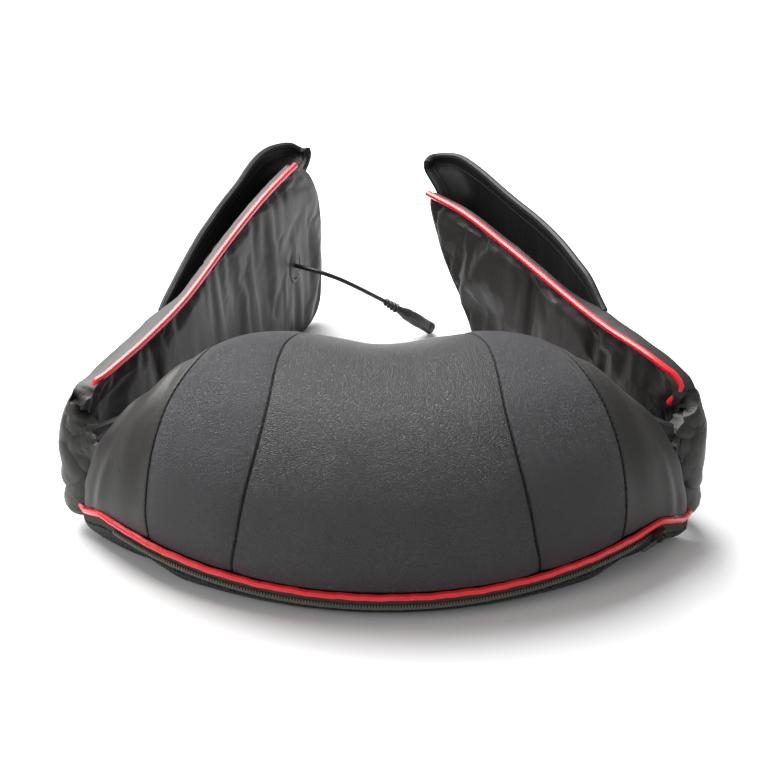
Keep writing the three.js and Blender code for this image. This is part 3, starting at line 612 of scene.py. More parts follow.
def capsule(length, radius):
    """A small stitch lying along x, centred on the origin."""
    bpy.ops.object.select_all(action="DESELECT")
    bpy.ops.mesh.primitive_cylinder_add(
        vertices=6, radius=radius * MM, depth=length * 0.6 * MM, rotation=(0, math.pi / 2, 0))
    obj = bpy.context.object
    bpy.ops.object.transform_apply(location=False, rotation=True, scale=False)
    bpy.ops.object.mode_set(mode="EDIT")
    bpy.ops.mesh.select_mode(type="FACE")
    bpy.ops.mesh.select_all(action="DESELECT")
    bpy.ops.object.mode_set(mode="OBJECT")
    for face in obj.data.polygons:
        face.select = abs(face.normal.x) > 0.9
    bpy.ops.object.mode_set(mode="EDIT")
    bpy.ops.mesh.inset(thickness=radius * 0.5 * MM, depth=length * 0.2 * MM, use_individual=True)
    bpy.ops.object.mode_set(mode="OBJECT")
    return obj


def strew(name, seed, places):
    """Copies a small mesh to each (point, forward, up) in millimetres, as one piece."""
    base = coordinates(seed)
    faces = [list(face.vertices) for face in seed.data.polygons]
    bpy.data.objects.remove(seed)
    points, polygons = [], []
    for point, forward, up in places:
        x = Vector(forward).normalized()
        y = Vector(up).cross(x).normalized()
        turn = Matrix((x, y, x.cross(y))).transposed()
        start = len(points) * len(base)
        points.append(base @ np.array(turn).T + np.asarray(point) * MM)
        polygons += [[v + start for v in face] for face in faces]
    mesh = bpy.data.meshes.new(name)
    mesh.from_pydata(np.vstack(points).tolist(), [], polygons)
    obj = bpy.data.objects.new(name, mesh)
    bpy.context.scene.collection.objects.link(obj)
    return obj


# ------------------------------------------------------------------ body covers

COVER_SHARES = (0.003, UPPER_RIM - 0.003)
COVER_RUN = 350
COVER_RADIUS = 262
# The share of an end panel's width at which it starts to roll in towards the body's end.
ROLL_START = 0.86
# Where each end panel stops, in degrees: it leans in towards the top.
END_ANGLES = [(0, 48.5), (0.07, 47.6), (0.14, 46), (0.2, 44.6), (0.27, 43.4), (0.36, 43.2), (0.5, 44)]


def edge_angle(name, share):
    """The angle of a seam, or of the body's end, at a share of the section."""
    if name == "end":
        return smooth(END_ANGLES, share)
    return smooth(SEAM_ANGLES[name], share)


def seam_dip(distance, depth, width):
    return depth * np.exp(-((distance / width) ** 2))


def cover_sheet(name, edges, signs, columns, rows, seed):
    """A panel between two edges that dips into the seams round it, with small puckers along them."""
    fabric = "end" in edges

    def place(u, v):
        u = u - 0.93 * np.sin(2 * np.pi * u) / (2 * np.pi)
        share = COVER_SHARES[0] + (COVER_SHARES[1] - COVER_SHARES[0]) * v
        start, stop = (sign * edge_angle(edge, share) for edge, sign in zip(edges, signs))
        run = v * COVER_RUN
        depth = np.zeros_like(u)
        if fabric:
            toward = u if edges[1] == "end" else 1 - u
            roll = np.clip((toward - ROLL_START) / 0.14, 0, 1) * np.pi / 2
            rolled = np.minimum(toward, ROLL_START) + 0.14 * np.sin(roll)
            u = rolled if edges[1] == "end" else 1 - rolled
        angle = start + (stop - start) * u
        for edge, at in zip(edges, (start, stop)):
            if edge == "end":
                continue
            away = np.abs(angle - at) * np.pi / 180 * COVER_RADIUS
            depth += seam_dip(away, 1.7, 0.7) + seam_dip(away, 0.7, 6)
            depth += 0.2 * np.sin(2 * np.pi * run / 5.6 + seed) * np.exp(-away / 2.5)
        for edge in (0, 1):
            depth += seam_dip((v - edge) * COVER_RUN, 1.5, 3.0)
        depth -= (0.8 if fabric else 0.6) * ripple(angle * 0.35, run * 0.035, seed)
        if fabric:
            toward = rolled
            middle = np.sin(np.pi * np.clip(v, 0, 1)) ** 0.5
            depth += 2.2 * seam_dip(toward - 0.2 + 0.07 * np.sin(run * 0.02), 1, 0.13) * middle
            depth += 1.3 * seam_dip(toward - 0.72 + 0.1 * v, 1, 0.06) * seam_dip(v - 0.12, 1, 0.13)
            depth -= 1.0 * seam_dip(toward - 0.62 + 0.1 * v, 1, 0.07) * seam_dip(v - 0.14, 1, 0.15)
            depth += 0.7 * np.sin(run * 0.11 + 2.5 * toward + seed) * toward**2 * middle
            depth += 20 * (1 - np.cos(roll))
        return body_point(angle, share, depth)

    return sheet_of(name, columns, rows, place)


def cover_panel(name, edges, signs, columns, rows, paint, seed):
    settings = bpy.context.scene.massager_cover
    panel = cover_sheet(name, edges, signs, columns, rows, seed)
    thicken(panel, settings.leather_thickness, 0.0004, 2)
    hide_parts(name.replace("_cover", "_panel"))
    return finish_piece(panel, paint, "body", 60)


def seam_places(edge, sign, pitch, depth):
    """Stitch places along a seam, in millimetres."""
    shares = np.linspace(0.012, UPPER_RIM - 0.012, 60)
    side = sign * edge_angle(edge, shares)
    line = even(body_point(side, shares, depth), 600)
    run = np.concatenate([[0], np.cumsum(np.linalg.norm(np.diff(line, axis=0), axis=1))])
    centre = body_point(sign * 28, 0.25, 60.0)
    places = []
    for at in np.arange(pitch, run[-1] - pitch, pitch):
        point = np.array([np.interp(at, run, line[:, k]) for k in range(3)])
        ahead = np.array([np.interp(at + 1, run, line[:, k]) for k in range(3)])
        places.append((point, ahead - point, point - centre))
    return places


class MASSAGER_OT_covers(bpy.types.Operator):
    """Make the leather panels, the end panels and their stitched seams"""

    bl_idname = "massager.covers"
    bl_label = "Covers"

    def execute(self, context):
        settings = context.scene.massager_cover
        leather, fabric = "black_leather", "strap_fabric"
        pieces = [cover_panel(
            "center_leather_cover", ("inner", "inner"), (-1, 1), 96, 230, "leather", 2)]
        for name, sign in SIDES:
            panels = (
                ("leather", ("inner", "outer"), 44, "side_leather", leather),
                ("end", ("outer", "end"), 70, "satin", fabric),
            )
            for label, edges, columns, paint, slot in panels:
                edges = edges[::sign]
                pieces.append(cover_panel(
                    f"{name}_{label}_cover", edges, (sign, sign), columns, 230, paint, 3 + sign))
        pitch = settings.stitch_pitch / MM
        for name, sign in SIDES:
            for edge, depth in (("inner", 1.5), ("outer", 0.9)):
                places = seam_places(edge, sign, pitch, depth)
                stitches = strew(f"{name}_{edge}_seam_stitches", capsule(pitch * 0.7, 0.5), places)
                finish_piece(stitches, "thread", "body")
        return {"FINISHED"}


class MASSAGER_OT_neck_side(bpy.types.Operator):
    """Make the breathable mesh on the neck side"""

    bl_idname = "massager.neck_side"
    bl_label = "Neck side"

    def execute(self, context):
        def place(u, v):
            share = 0.922 - (0.922 - UPPER_RIM - 0.004) * v
            angle = (1 - u * 2) * np.interp(share, [UPPER_RIM, 0.7, 0.93], [44, 46.5, 48.3])
            wave = 0.5 * ripple(angle * 0.3, v * 9, 4) * np.sin(np.pi * v)
            point = neck_point(angle, share, -wave)
            point[..., 2] = np.maximum(point[..., 2], 0.0)
            return point

        cover = sheet_of("neck_mesh", 150, 74, place)
        thicken(cover, 0.0022, 0.0006, 2)
        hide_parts("neck_mesh_cover")
        finish_piece(cover, "neck_mesh", "body", 60)
        return {"FINISHED"}


class MASSAGER_OT_piping(bpy.types.Operator):
    """Make the red piping round the body's rims"""

    bl_idname = "massager.piping"
    bl_label = "Body piping"

    def execute(self, context):
        radius = context.scene.massager_cover.piping_radius / MM
        for name, share, reach in (("lower_rim_piping", 0.0, 47.9), ("upper_rim_piping", UPPER_RIM, 41)):
            angles = np.linspace(-reach, reach, 90)
            line = body_point(angles, share, -0.9)
            line[:, 2] += 0.25 * np.sin(angles * 1.9) + 0.2 * np.sin(angles * 0.83)
            piping = tube_of(name + "_welt", line, radius, 12, 240)
            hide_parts(name)
            finish_piece(piping, "piping", "body")
        return {"FINISHED"}


# ------------------------------------------------------------------ zip


class MASSAGER_OT_zip(bpy.types.Operator):
    """Make the zip's tape and coil along the outer rim"""

    bl_idname = "massager.zip"
    bl_label = "Zip"

    def execute(self, context):
        def tape(u, v):
            angle = (1 - 2 * u) * 48.2
            share = 0.9935 - 0.075 * v
            depth = 0.5 + 0.35 * np.sin(angle * 2.3) * v + 0.9 * np.abs(v - 0.5)
            return body_point(angle, share, depth)

        band = sheet_of("zip_band", 220, 10, tape)
        thicken(band, 0.0011, 0.0003, 1)
        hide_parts("zip_tape")
        finish_piece(band, "zip_tape", "body", 60)

        pitch, places = 2.1, []
        for angle in np.arange(-40, 40, np.degrees(pitch / 300)):
            for side in (-1, 1):
                here = body_point(angle + side * 0.1, ZIP_SHARE + side * 0.0035, -0.9)
                ahead = body_point(angle + side * 0.1, ZIP_SHARE + side * 0.009, -0.6)
                places.append((here, ahead - here, here - body_point(angle, ZIP_SHARE, 20)))
        coil = strew("zip_teeth", capsule(3.4, 0.72), places)
        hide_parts("zip_coil")
        finish_piece(coil, "coil", "body", 60)
        for row, share in (("upper", 0.986), ("lower", 0.930)):
            places = []
            for angle in np.arange(-46, 46, 0.8):
                here, ahead = body_point(angle, share, 0.25), body_point(angle + 0.4, share, 0.25)
                places.append((here, ahead - here, here - body_point(angle, share, 20)))
            finish_piece(strew(f"zip_{row}_stitches", capsule(2.9, 0.36), places), "thread", "body")
        return {"FINISHED"}


# ------------------------------------------------------------------ straps

# Distances along each strap from its hinge line, outward offsets and heights, in millimetres.
# Each fold is (a broken line of run and height, how high it stands, how wide it is). The lean
# draws the corner in by an amount that grows with height.
STRAPS = {
    "left": {
        "heading": 63.4,
        "corner": [(-12, -27), (-8, -19), (-7, -9), (-8, -1), (-4, 5.5), (6, 4.5), (20, -0.5), (38, -3.5)],
        "top": [
            (-36, 82), (-20, 92), (-6, 103), (8, 111), (66, 120), (151, 132), (242, 151), (282, 156),
            (320, 158),
        ],
        "foot": [(-36, 24), (-10, 17), (10, 14), (30, 8), (52, 0.6), (400, 0.6)],
        "tip": [
            (0, 316), (0.06, 332), (0.16, 340), (0.4, 342), (0.7, 336), (0.86, 324), (0.95, 310), (1, 296),
        ],
        "bow": (105, 5),
        "plan": [
            (108, 3), (150, 10), (205, 19), (260, 23), (295, 22), (316, 16), (327, 9), (330, 2), (327, -3),
        ],
        "loop_top": [
            (108, 116), (121, 120), (159, 129), (193, 135), (223, 140), (257, 148), (286, 158), (303, 161),
            (317, 160), (325, 158), (332, 152),
        ],
        "reach": [
            (0, 0.87), (10, 0.93), (24, 0.96), (60, 0.975), (105, 0.955), (129, 0.925), (142, 0.95), (150, 1),
        ],
        "piping": [(8, 0.5, 101.5), (4.8, -1.5, 104.8), (10, -2.8, 107.8)],
        "piping_end": 297,
        "folds": [
            ([(-27, 98), (-14, 84), (-10, 74), (-18, 60)], 1.7, 3.6),
            ([(-14, 80), (-30, 88)], 1.4, 3.2),
            ([(-27, 60), (-14, 46), (-4, 33)], 1.8, 3.8),
            ([(3, 110), (-6, 98), (-9, 86)], 0.9, 3.2),
        ],
        "lean": [(28, 0), (60, 0.6), (80, 2.4), (100, 7), (112, 8)],
    },
    "right": {
        "heading": 127.3,
        "corner": [(-6, -28), (-2, -20), (-4, -11), (-5, -4), (-1, 1.8), (8, 2), (20, -1.4), (38, -3.5)],
        "top": [
            (-36, 82), (-20, 92), (-6, 104), (8, 117), (35, 126), (77, 130), (131, 138), (188, 147),
            (240, 154), (290, 153),
        ],
        "foot": [(-36, 24), (-10, 17), (10, 14), (30, 8), (52, 0.6), (400, 0.6)],
        "tip": [
            (0, 188), (0.08, 203), (0.16, 212), (0.37, 229), (0.58, 257), (0.8, 275), (0.93, 283), (1, 283),
        ],
        "bow": (100, 2),
        "plan": [
            (90, 3), (130, 12), (170, 21), (200, 25), (240, 28), (270, 29), (290, 27), (300, 21), (304, 12),
            (300, 4),
        ],
        "loop_top": [
            (90, 130), (102, 134), (123, 144.5), (143, 149), (165, 153), (191, 156.5), (232, 161), (262, 167),
            (290, 171), (304, 170),
        ],
        "reach": [
            (0, 0.44), (12, 0.51), (24, 0.55), (56, 0.64), (88, 0.77), (121, 0.855), (145, 0.9), (155, 0.94),
            (166, 1),
        ],
        "piping": [(10.5, -8.5, 99.5), (8.6, -7.6, 103), (5.5, -5, 109), (6, -3, 114)],
        "piping_end": 284,
        "folds": [
            ([(-24, 106), (-15, 99), (-11, 86), (-16, 70), (-24, 54)], 1.8, 3.6),
            ([(-13, 81), (-22, 84), (-34, 96)], 1.4, 3.2),
            ([(-27, 60), (-16, 47), (-6, 36)], 1.6, 3.8),
            ([(10, 100), (0, 112)], 1.2, 3.2),
        ],
        "lean": [(34, 0), (80, 0.4), (98, 4.5), (112, 7)],
    },
}
PAD_MIDDLE = -3.5
DOUBLED = [(86, 6), (128, 0)]
# The gathered corner takes the first part of the pad's columns and ends at this run.
CORNER_SHARE, STRAP_SHARE = 0.32, 0.68
CORNER_RUN = 18


class StrapFrame:
    """Turns (distance, outward, height) of one strap into places in the row frame."""

    def __init__(self, name, sign):
        self.shape = STRAPS[name]
        self.sign = sign
        self.origin = np.array(JOINTS[f"{name}_strap_fold"]["pos_m"][:2]) / MM
        a = math.radians(self.shape["heading"])
        self.along = np.array([math.cos(a), math.sin(a)])
        self.outward = np.array([math.sin(a), -math.cos(a)]) * sign
        bow_at, bow = self.shape["bow"]
        straight = [(s, PAD_MIDDLE - bow * math.exp(-(((s - bow_at) / 55) ** 2))) for s in range(60, 361, 20)]
        fine = through(self.shape["corner"] + straight, np.linspace(0, 1, 1200))
        run = np.concatenate([[0], np.cumsum(np.linalg.norm(np.diff(fine, axis=0), axis=1))])
        straight_on = fine[:, 0] > 50
        self.run = run - (run[straight_on] - fine[straight_on, 0])[0]
        self.line = fine
        self.start = self.run[0]

    def world(self, s, n, z):
        s, n, z = np.broadcast_arrays(*(np.asarray(v, float) for v in (s, n, z)))
        flat = self.origin + s[..., None] * self.along + n[..., None] * self.outward
        return np.concatenate([flat, z[..., None]], axis=-1)

    def middle(self, run, across=0.0):
        """The pad's middle line at a run along it, moved outward by across: (s, n)."""
        (s, n), (next_s, next_n), (last_s, last_n) = (
            [np.interp(at, self.run, self.line[:, k]) for k in (0, 1)]
            for at in (run, run + 1.5, run - 1.5))
        ahead_s, ahead_n = next_s - last_s, next_n - last_n
        size = np.maximum(np.hypot(ahead_s, ahead_n), 1e-6)
        return s - ahead_n / size * across, n + ahead_s / size * across


def fold_height(line, x, y, width):
    """A crease along a broken line with a soft ridge on its left, from -1 to 0.6."""
    value = np.zeros(np.shape(x))
    for (x0, y0), (x1, y1) in zip(line[:-1], line[1:]):
        long = math.hypot(x1 - x0, y1 - y0)
        dx, dy = (x1 - x0) / long, (y1 - y0) / long
        along = (x - x0) * dx + (y - y0) * dy
        side = ((y - y0) * dx - (x - x0) * dy) / width
        past = np.maximum(0, np.abs(along - long / 2) - long / 2) / width
        profile = 0.6 * np.exp(-((side - 1.4) ** 2)) - np.exp(-((2 * np.abs(side)) ** 1.3))
        fold = profile * np.exp(-(past**2))
        value = np.where(np.abs(fold) > np.abs(value), fold, value)
    return value


def doubled(run):
    """The extra thickness where the loop's layer is still joined to the pad."""
    return smooth(DOUBLED, run)


def strap_pad(name, sign):
    """The padded strap, gathered round its corner, as one closed form."""
    settings = bpy.context.scene.massager_straps
    strap = StrapFrame(name, sign)
    shape = strap.shape
    thickness, corner = settings.pad_thickness / MM, settings.corner_thickness / MM

    def spot(u, v):
        end = smooth(shape["tip"], v)
        gathered = strap.start + (CORNER_RUN - strap.start) * u / CORNER_SHARE
        straight = CORNER_RUN + (end - CORNER_RUN) * (u - CORNER_SHARE) / STRAP_SHARE
        run = np.where(u < CORNER_SHARE, gathered, straight)
        foot, top = smooth(shape["foot"], run), smooth(shape["top"], run)
        return run, foot + (top - foot) * v, end

    def place(u, v):
        run, z, _ = spot(u, v)
        near = np.exp(-(((run + 6) / 24) ** 2))
        inside = np.sin(np.pi * np.clip(v, 0, 1)) ** 0.6
        across = 0.35 * near * (np.sin(run * 0.3 + z * 0.05) + np.sin(z * 0.14 + run * 0.1))
        for line, height, width in shape["folds"]:
            across += height * fold_height(line, run, z, width)
        across -= smooth(shape["lean"], z) * near
        calm = inside * (1 - near)
        across += 2.3 * ripple(run * 0.075, z * 0.011, 2 + sign) * calm
        across += 1.0 * ripple(run * 0.2 + z * 0.02, z * 0.02, 5) * calm
        across += doubled(run) / 2
        s, n = strap.middle(run, across)
        return strap.world(s, n, z)

    def edge_distance(u, v):
        run, z, end = spot(u, v)
        height = smooth(shape["top"], run) - smooth(shape["foot"], run)
        return np.minimum(np.minimum(v, 1 - v) * height, np.maximum(end - run, 0)), run

    def full(u, v):
        away, run = edge_distance(u, v)
        near = np.exp(-(((run - 2) / 20) ** 2))
        rim = 0.5 + 0.3 * doubled(run) / DOUBLED[0][1]
        quilt = rim + (1 - rim) * np.clip(away / 11, 0, 1) ** 0.5
        return (thickness + doubled(run) + (corner - thickness - doubled(run)) * near) / corner * quilt

    def held(u, v):
        away, run = edge_distance(u, v)
        return np.where((away < 2.5) | (run < strap.start + 12), 1.0, 0.0)

    pad = sheet_of(f"{name}_strap_pad", 170, 72, place, thickness=full, held=held)
    if sign > 0:
        turn_inside_out(pad)
    apply_modifier(pad, "SOLIDIFY", thickness=corner * MM, offset=0.0, vertex_group="thickness",
                   use_even_offset=False)
    puff(pad, 3.0, 0.03, 4.0)
    apply_modifier(pad, "BEVEL", width=1.6 * MM, segments=3, limit_method="ANGLE",
                   angle_limit=math.radians(55), use_clamp_overlap=True)
    return pad, strap


def loop_layer(name, strap):
    """The hand loop's outer layer, bowed away from the pad, with a bound edge."""
    shape = strap.shape
    thickness = bpy.context.scene.massager_straps.loop_thickness
    start = shape["plan"][0][0]
    plan = even([(s, n) for s, n in shape["plan"]], 400)

    def place(u, v):
        at = np.stack([np.interp(u * 399, np.arange(400), plan[:, k]) for k in (0, 1)], axis=-1)
        top = smooth(shape["loop_top"], at[:, 0])
        z = 0.6 + (top - 0.6) * v
        tipward = smooth(shape["reach"], z)
        wave = 0.8 * ripple(at[:, 0] * 0.06, z * 0.03, 7) * np.sin(np.pi * u)
        return strap.world(start + (at[:, 0] - start) * tipward, at[:, 1] + wave, z)

    loop = sheet_of(f"{name}_hand_loop", 110, 60, place)
    if strap.sign > 0:
        turn_inside_out(loop)
    thicken(loop, thickness, 0.0016, 3, 0.0)
    rim, ridge = (
        np.concatenate([
            place(np.linspace(0.02, 1 - inset / 2, 60), np.full(60, 1 - inset)) + (0, 0, 0.3),
            place(np.full(30, 1 - inset / 2), np.linspace(0.97 - inset, 0.02, 30)),
        ])
        for inset in (0, 0.045))
    binding = tube_of(f"{name}_loop_binding", rim, thickness / MM * 0.6, 12, 200)
    hem = tube_of(f"{name}_loop_hem", ridge, thickness / MM * 0.56, 12, 200)
    return loop, binding, hem


class MASSAGER_OT_straps(bpy.types.Operator):
    """Make the padded straps, their piping and their hand loops"""

    bl_idname = "massager.straps"
    bl_label = "Straps"

    def execute(self, context):
        radius = context.scene.massager_cover.piping_radius / MM
        half = context.scene.massager_straps.pad_thickness / MM / 2
        for name, sign in SIDES:
            body = f"{name}_strap"
            pad, strap = strap_pad(name, sign)
            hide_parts(f"{name}_strap_panel")
            finish_piece(pad, "satin", None, 60)
            start = strap.world(-14, -14, 60) * MM
            end = strap.world(30, 0, 60) * MM
            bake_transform(pad)

            loop, binding, hem = loop_layer(name, strap)
            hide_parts(f"{name}_loop_panel")
            finish_piece(loop, "loop_fabric", body, 60)
            finish_piece(binding, "loop_fabric", body)
            finish_piece(hem, "binding", body)

            runs = np.linspace(14, strap.shape["piping_end"], 60)
            s, n = strap.middle(runs, -half - 0.2)
            line = [strap.world(*point) for point in strap.shape["piping"]]
            line += list(strap.world(s, n, smooth(strap.shape["top"], runs) + 0.6))
            piping = tube_of(f"{name}_strap_welt", line, radius, 12, 150)
            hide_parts(f"{name}_strap_piping")
            finish_piece(piping, "piping", None)
            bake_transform(piping)
        return {"FINISHED"}


# ------------------------------------------------------------------ inlet lead

# The lead's route from the eyelet to its boot, in millimetres.
LEAD_ROUTE = [
    (-73.5, 304.5, 72), (-69.5, 302.5, 72.2), (-65.5, 300.6, 72.1), (-61, 299, 71.6), (-56, 297.9, 70.7),
    (-51, 297.4, 69.3), (-46, 297.3, 67.4), (-41, 297.7, 65.1), (-36, 298.5, 62.4), (-31, 299.5, 59.3),
    (-26, 300.6, 56), (-21, 301.8, 52.5), (-16, 303.1, 48.9), (-11, 304.5, 45.2), (-6, 306, 41.4),
    (-1, 307.5, 37.6),
]
CONNECTOR_END = (38, 319.6, 4.6)


def turned(name, profile, sides, start, way):
    """A round piece spun from (radius, distance) points, set along a line, in millimetres."""
    start, way = Vector(start), Vector(way).normalized()
    mesh = bpy.data.meshes.new(name)
    edges = [(i, i + 1) for i in range(len(profile) - 1)]
    mesh.from_pydata([(r * MM, 0, z * MM) for r, z in profile], edges, [])
    obj = bpy.data.objects.new(name, mesh)
    bpy.context.scene.collection.objects.link(obj)
    alone(obj)
    bpy.ops.object.mode_set(mode="EDIT")
    bpy.ops.mesh.select_all(action="SELECT")
    bpy.ops.mesh.spin(steps=sides, angle=2 * math.pi, center=(0, 0, 0), axis=(0, 0, 1))
    bpy.ops.mesh.select_all(action="SELECT")
    bpy.ops.mesh.remove_doubles(threshold=0.00001)
    bpy.ops.mesh.normals_make_consistent(inside=False)
    bpy.ops.object.mode_set(mode="OBJECT")
    turn = Vector((0, 0, 1)).rotation_difference(way).to_matrix().to_4x4()
    obj.data.transform(Matrix.Translation(start * MM) @ turn)
    return obj


class MASSAGER_OT_lead(bpy.types.Operator):
    """Make the inlet lead with its eyelet, boot and connector"""

    bl_idname = "massager.lead"
    bl_label = "Inlet lead"

    def execute(self, context):
        route = np.array(LEAD_ROUTE, float)
        way = np.array(CONNECTOR_END) - route[-1]
        total = np.linalg.norm(way)
        way = way / total
        rings = []
        for k in range(4):
            low, high, at = 2.2 + 0.15 * k, 3.2 + 0.25 * k, 0.8 + 3.5 * k
            rings += [
                (low, at), (high - 0.3, at + 0.5), (high, at + 1), (high, at + 1.8), (high - 0.3, at + 2.3),
                (low, at + 2.7),
            ]
        boot = turned("lead_strain_relief", [(0, 0), (1.9, 0), *rings, (2.9, 15), (0, 15)], 24,
                      route[-1] + way * 0.3, way)
        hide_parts("lead_boot")
        finish_piece(boot, "cord", "left_strap")

        long = total - 15.6
        profile = [
            (0, 0), (2.8, 0), (3.1, 0.6), (3.3, 2.5), (3.9, 5), (4.7, 7.6), (5.05, 9.2), (5.1, 10.5),
            (5.1, long - 6.5), (4.95, long - 6.2), (4.95, long - 5.6), (5.1, long - 5.3), (5.1, long - 0.6),
            (4.9, long - 0.15), (4.6, long), (3.0, long), (2.75, long - 0.3), (2.75, long - 9), (0, long - 9),
        ]
        shell = turned("connector_shell", profile, 32, route[-1] + way * 15.5, way)
        grips = []
        for k in range(10):
            a = 2 * math.pi * k / 10
            side = Vector(way).orthogonal().normalized()
            side.rotate(Matrix.Rotation(a, 3, Vector(way)))
            centre = route[-1] + way * (15.5 + long * 0.52) + np.array(side) * 5.0
            grips.append((centre, way, np.array(side)))
        ribs = strew("connector_ribs", capsule(11, 0.55), grips)
        pin = turned("connector_pin", [(0, 0), (1.0, 0), (1.0, 7.2), (0.7, 8), (0, 8.1)], 12,
                     route[-1] + way * (15.5 + long - 8.9), way)
        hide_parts("dc_connector")
        finish_piece(shell, "black_plastic", "left_strap")
        finish_piece(ribs, "black_plastic", "left_strap")
        finish_piece(pin, "steel", "left_strap")

        strap = StrapFrame("left", -1)
        face = strap.world(290, -8.0, 72)
        out = -np.array([*strap.outward, 0])
        eyelet = turned("cord_eyelet", [
            (2.3, -0.6), (7.6, -0.6), (8.2, 0.2), (8.6, 1.4), (9.2, 2.1), (10.2, 2.5), (11.2, 2.1),
            (11.9, 1.3), (12.1, 0.2), (12.1, -1.2), (2.3, -1.2), (2.3, -0.6)], 40, face, out)
        sleeve = turned("cord_sleeve", [
            (2.0, -0.8), (3.4, -0.8), (3.2, 1.6), (2.6, 2.6), (2.0, 2.7), (2.0, -0.8)], 24, face, out)
        centre, along = face * MM, np.array([*strap.along, 0])
        for ring in (eyelet, sleeve):
            local = coordinates(ring) - centre
            slim = local - 0.24 * np.outer(local @ along, along)
            slim[:, 2] *= 1.3
            set_coordinates(ring, centre + slim)
        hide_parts("cord_grommet")
        finish_piece(eyelet, "black_plastic", "left_strap")
        finish_piece(sleeve, "black_plastic", "left_strap")

        fine = even(route, 90)
        cord = tube_of("inlet_lead", fine, context.scene.massager_lead.diameter / MM / 2, 12)
        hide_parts("power_lead")
        finish_piece(cord, "cord", "left_strap")
        return {"FINISHED"}


# ------------------------------------------------------------------ hard parts

SLOT_PAINTS = {
    "housing_plastic": "housing", "gear_plastic": "gear", "head_plastic": "head", "node_plastic": "node",
    "steel": "steel", "bronze": "bronze", "circuit_board": "board", "black_plastic": "black_plastic",
    "button_plastic": "button", "cord_sheath": "cord", "foam": "foam", "black_leather": "leather",
    "strap_fabric": "satin", "loop_fabric": "loop_fabric", "neck_mesh": "neck_mesh", "red_piping": "piping",
    "zip_fabric": "zip_tape",
}


class MASSAGER_OT_hard_parts(bpy.types.Operator):
    """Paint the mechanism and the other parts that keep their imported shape"""

    bl_idname = "massager.hard_parts"
    bl_label = "Hard parts"

    def execute(self, context):
        for row in frame["record"]["subparts"]:
            node = frame["nodes"][row["node"]]
            node.data.materials.clear()
            node.data.materials.append(PAINTS[SLOT_PAINTS[row["material_slot"]]])
        return {"FINISHED"}


class MASSAGER_OT_paints(bpy.types.Operator):
    """Make every material"""

    bl_idname = "massager.paints"
    bl_label = "Materials"

    def execute(self, context):
        cover = context.scene.massager_cover
        leather = tuple(cover.leather_color)
        cooler = (leather[0], leather[1] * 1.01, leather[2] * 1.08)
        PAINTS.update({
            "leather": leather_paint("pebbled_leather", leather, 1.0, 0.36),
            "side_leather": leather_paint("side_leather", cooler, 1.3, 0.4),
            "satin": satin_paint("strap_satin", tuple(cover.fabric_color), 0.46),
            "loop_fabric": satin_paint("loop_cloth", tuple(cover.lining_color), 0.5),
            "binding": satin_paint("binding_tape", (0.007, 0.0068, 0.0066), 0.5, 2.0),
            "neck_mesh": neck_mesh_paint("neck_mesh", (0.02, 0.02, 0.022)),
            "piping": vinyl_paint("red_vinyl", tuple(cover.piping_color)),
            "zip_tape": woven_paint("zip_tape", (0.062, 0.057, 0.045), 700),
            "coil": plastic_paint("zip_coil", (0.085, 0.08, 0.066), 0.42),
            "thread": woven_paint("thread", (0.012, 0.012, 0.013), 1600, 0.5),
            "foam": foam_paint("foam", (0.02, 0.02, 0.022)),
            "housing": plastic_paint("housing_plastic", (0.03, 0.031, 0.034), 0.5, 1200, 0.00006),
            "gear": plastic_paint("gear_plastic", (0.78, 0.76, 0.68), 0.42),
            "head": plastic_paint("head_plastic", (0.05, 0.05, 0.056), 0.38),
            "node": plastic_paint("node_plastic", (0.27, 0.014, 0.02), 0.32),
            "steel": metal_paint("bright_steel", (0.62, 0.63, 0.65), 0.32),
            "bronze": metal_paint("sintered_bronze", (0.5, 0.3, 0.12), 0.42),
            "board": board_paint("board_lacquer", (0.02, 0.11, 0.04)),
            "black_plastic": plastic_paint("black_plastic", (0.012, 0.012, 0.013), 0.4),
            "button": plastic_paint("button_plastic", (0.05, 0.05, 0.056), 0.45),
            "cord": plastic_paint("cord_sheath", (0.011, 0.011, 0.012), 0.36, 900),
        })
        return {"FINISHED"}


# ------------------------------------------------------------------ stage


# Each light's name, place in metres, size and power. The key light's power is a setting.
LIGHTS = (
    ("key", (-0.55, 0.85, 1.42), 1.6, None),
    ("fill", (-1.3, -0.9, 0.9), 0.9, 7.0),
    ("edge", (1.5, -0.8, 0.5), 0.9, 1.2),
)
LIT_PLACE = (0, 0.08, 0.05)
WORLD_STRENGTH = 0.45
CAMERA = {"place": (-0.0023, -1.273, 0.925), "down": 31.4, "lens": 105.2, "sensor": 36}


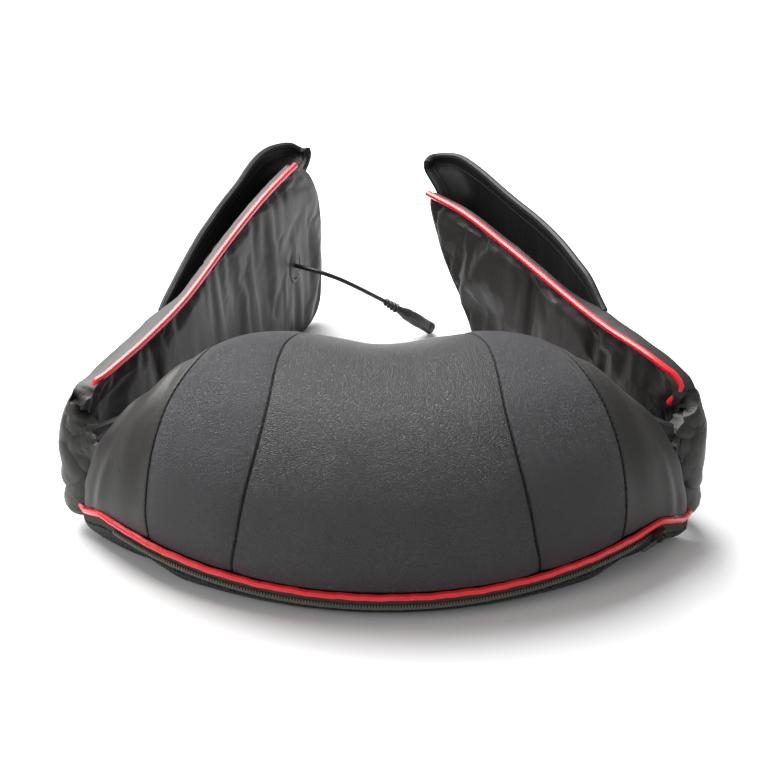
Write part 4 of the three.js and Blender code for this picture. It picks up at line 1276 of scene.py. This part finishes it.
class MASSAGER_OT_stage(bpy.types.Operator):
    """Make the floor, the lights and the camera"""

    bl_idname = "massager.stage"
    bl_label = "Stage"

    def execute(self, context):
        settings = context.scene.massager_stage
        bpy.ops.object.select_all(action="DESELECT")
        bpy.ops.mesh.primitive_plane_add(size=8, location=(0, 0, -0.0002))
        floor = context.object
        floor.name = "floor"
        p = Paint("floor_paint", Roughness=0.6, Specular_IOR_Level=0.2)
        tone = p.noise(p.place(), 3, 2.0)
        p.to("Base Color", p.blend(tone, shade(settings.floor_color, 0.995), tuple(settings.floor_color)))
        floor.data.materials.append(p.material)

        world = bpy.data.worlds.new("studio")
        context.scene.world = world
        world.use_nodes = True
        world.node_tree.nodes["Background"].inputs["Color"].default_value = (1, 1, 1, 1)
        world.node_tree.nodes["Background"].inputs["Strength"].default_value = WORLD_STRENGTH
        context.scene.view_settings.view_transform = "Standard"
        for name, place, size, power in LIGHTS:
            light = bpy.data.lights.new(name, "AREA")
            light.size = size
            light.energy = power or settings.key_power
            lamp = bpy.data.objects.new(name, light)
            context.scene.collection.objects.link(lamp)
            lamp.location = place
            toward = Vector(LIT_PLACE) - Vector(place)
            lamp.rotation_euler = toward.to_track_quat("-Z", "Y").to_euler()

        data = bpy.data.cameras.new("camera")
        data.lens = CAMERA["lens"]
        data.sensor_width = CAMERA["sensor"]
        camera = bpy.data.objects.new("camera", data)
        context.scene.collection.objects.link(camera)
        camera.location = CAMERA["place"]
        camera.rotation_euler = (math.radians(90 - CAMERA["down"]), 0, 0)
        context.scene.camera = camera
        return {"FINISHED"}


# ------------------------------------------------------------------ panel and run

STEPS = (
    MASSAGER_OT_paints, MASSAGER_OT_stage, MASSAGER_OT_lead, MASSAGER_OT_covers, MASSAGER_OT_neck_side,
    MASSAGER_OT_piping, MASSAGER_OT_zip, MASSAGER_OT_straps, MASSAGER_OT_hard_parts,
)


class MASSAGER_PT_panel(bpy.types.Panel):
    """Lists the massager's pieces in the order they are made"""

    bl_label = "Neck Massager"
    bl_idname = "MASSAGER_PT_panel"
    bl_space_type = "VIEW_3D"
    bl_region_type = "UI"
    bl_category = "Massager"

    def draw(self, context):
        for step in STEPS:
            self.layout.operator(step.bl_idname)
        for group in GROUPS:
            settings = getattr(context.scene, group)
            for key in settings.__annotations__:
                self.layout.prop(settings, key)


GROUPS = {
    "massager_cover": CoverSettings,
    "massager_straps": StrapSettings,
    "massager_lead": LeadSettings,
    "massager_stage": StageSettings,
}


def register():
    for kind in (*GROUPS.values(), *STEPS, MASSAGER_PT_panel):
        bpy.utils.register_class(kind)
    for name, kind in GROUPS.items():
        setattr(bpy.types.Scene, name, PointerProperty(type=kind))


def unregister():
    for name in GROUPS:
        delattr(bpy.types.Scene, name)
    for kind in (MASSAGER_PT_panel, *reversed(STEPS), *reversed(GROUPS.values())):
        bpy.utils.unregister_class(kind)


def main():
    register()
    for step in STEPS:
        group, name = step.bl_idname.split(".")
        getattr(getattr(bpy.ops, group), name)()


if __name__ == "__main__":
    main()
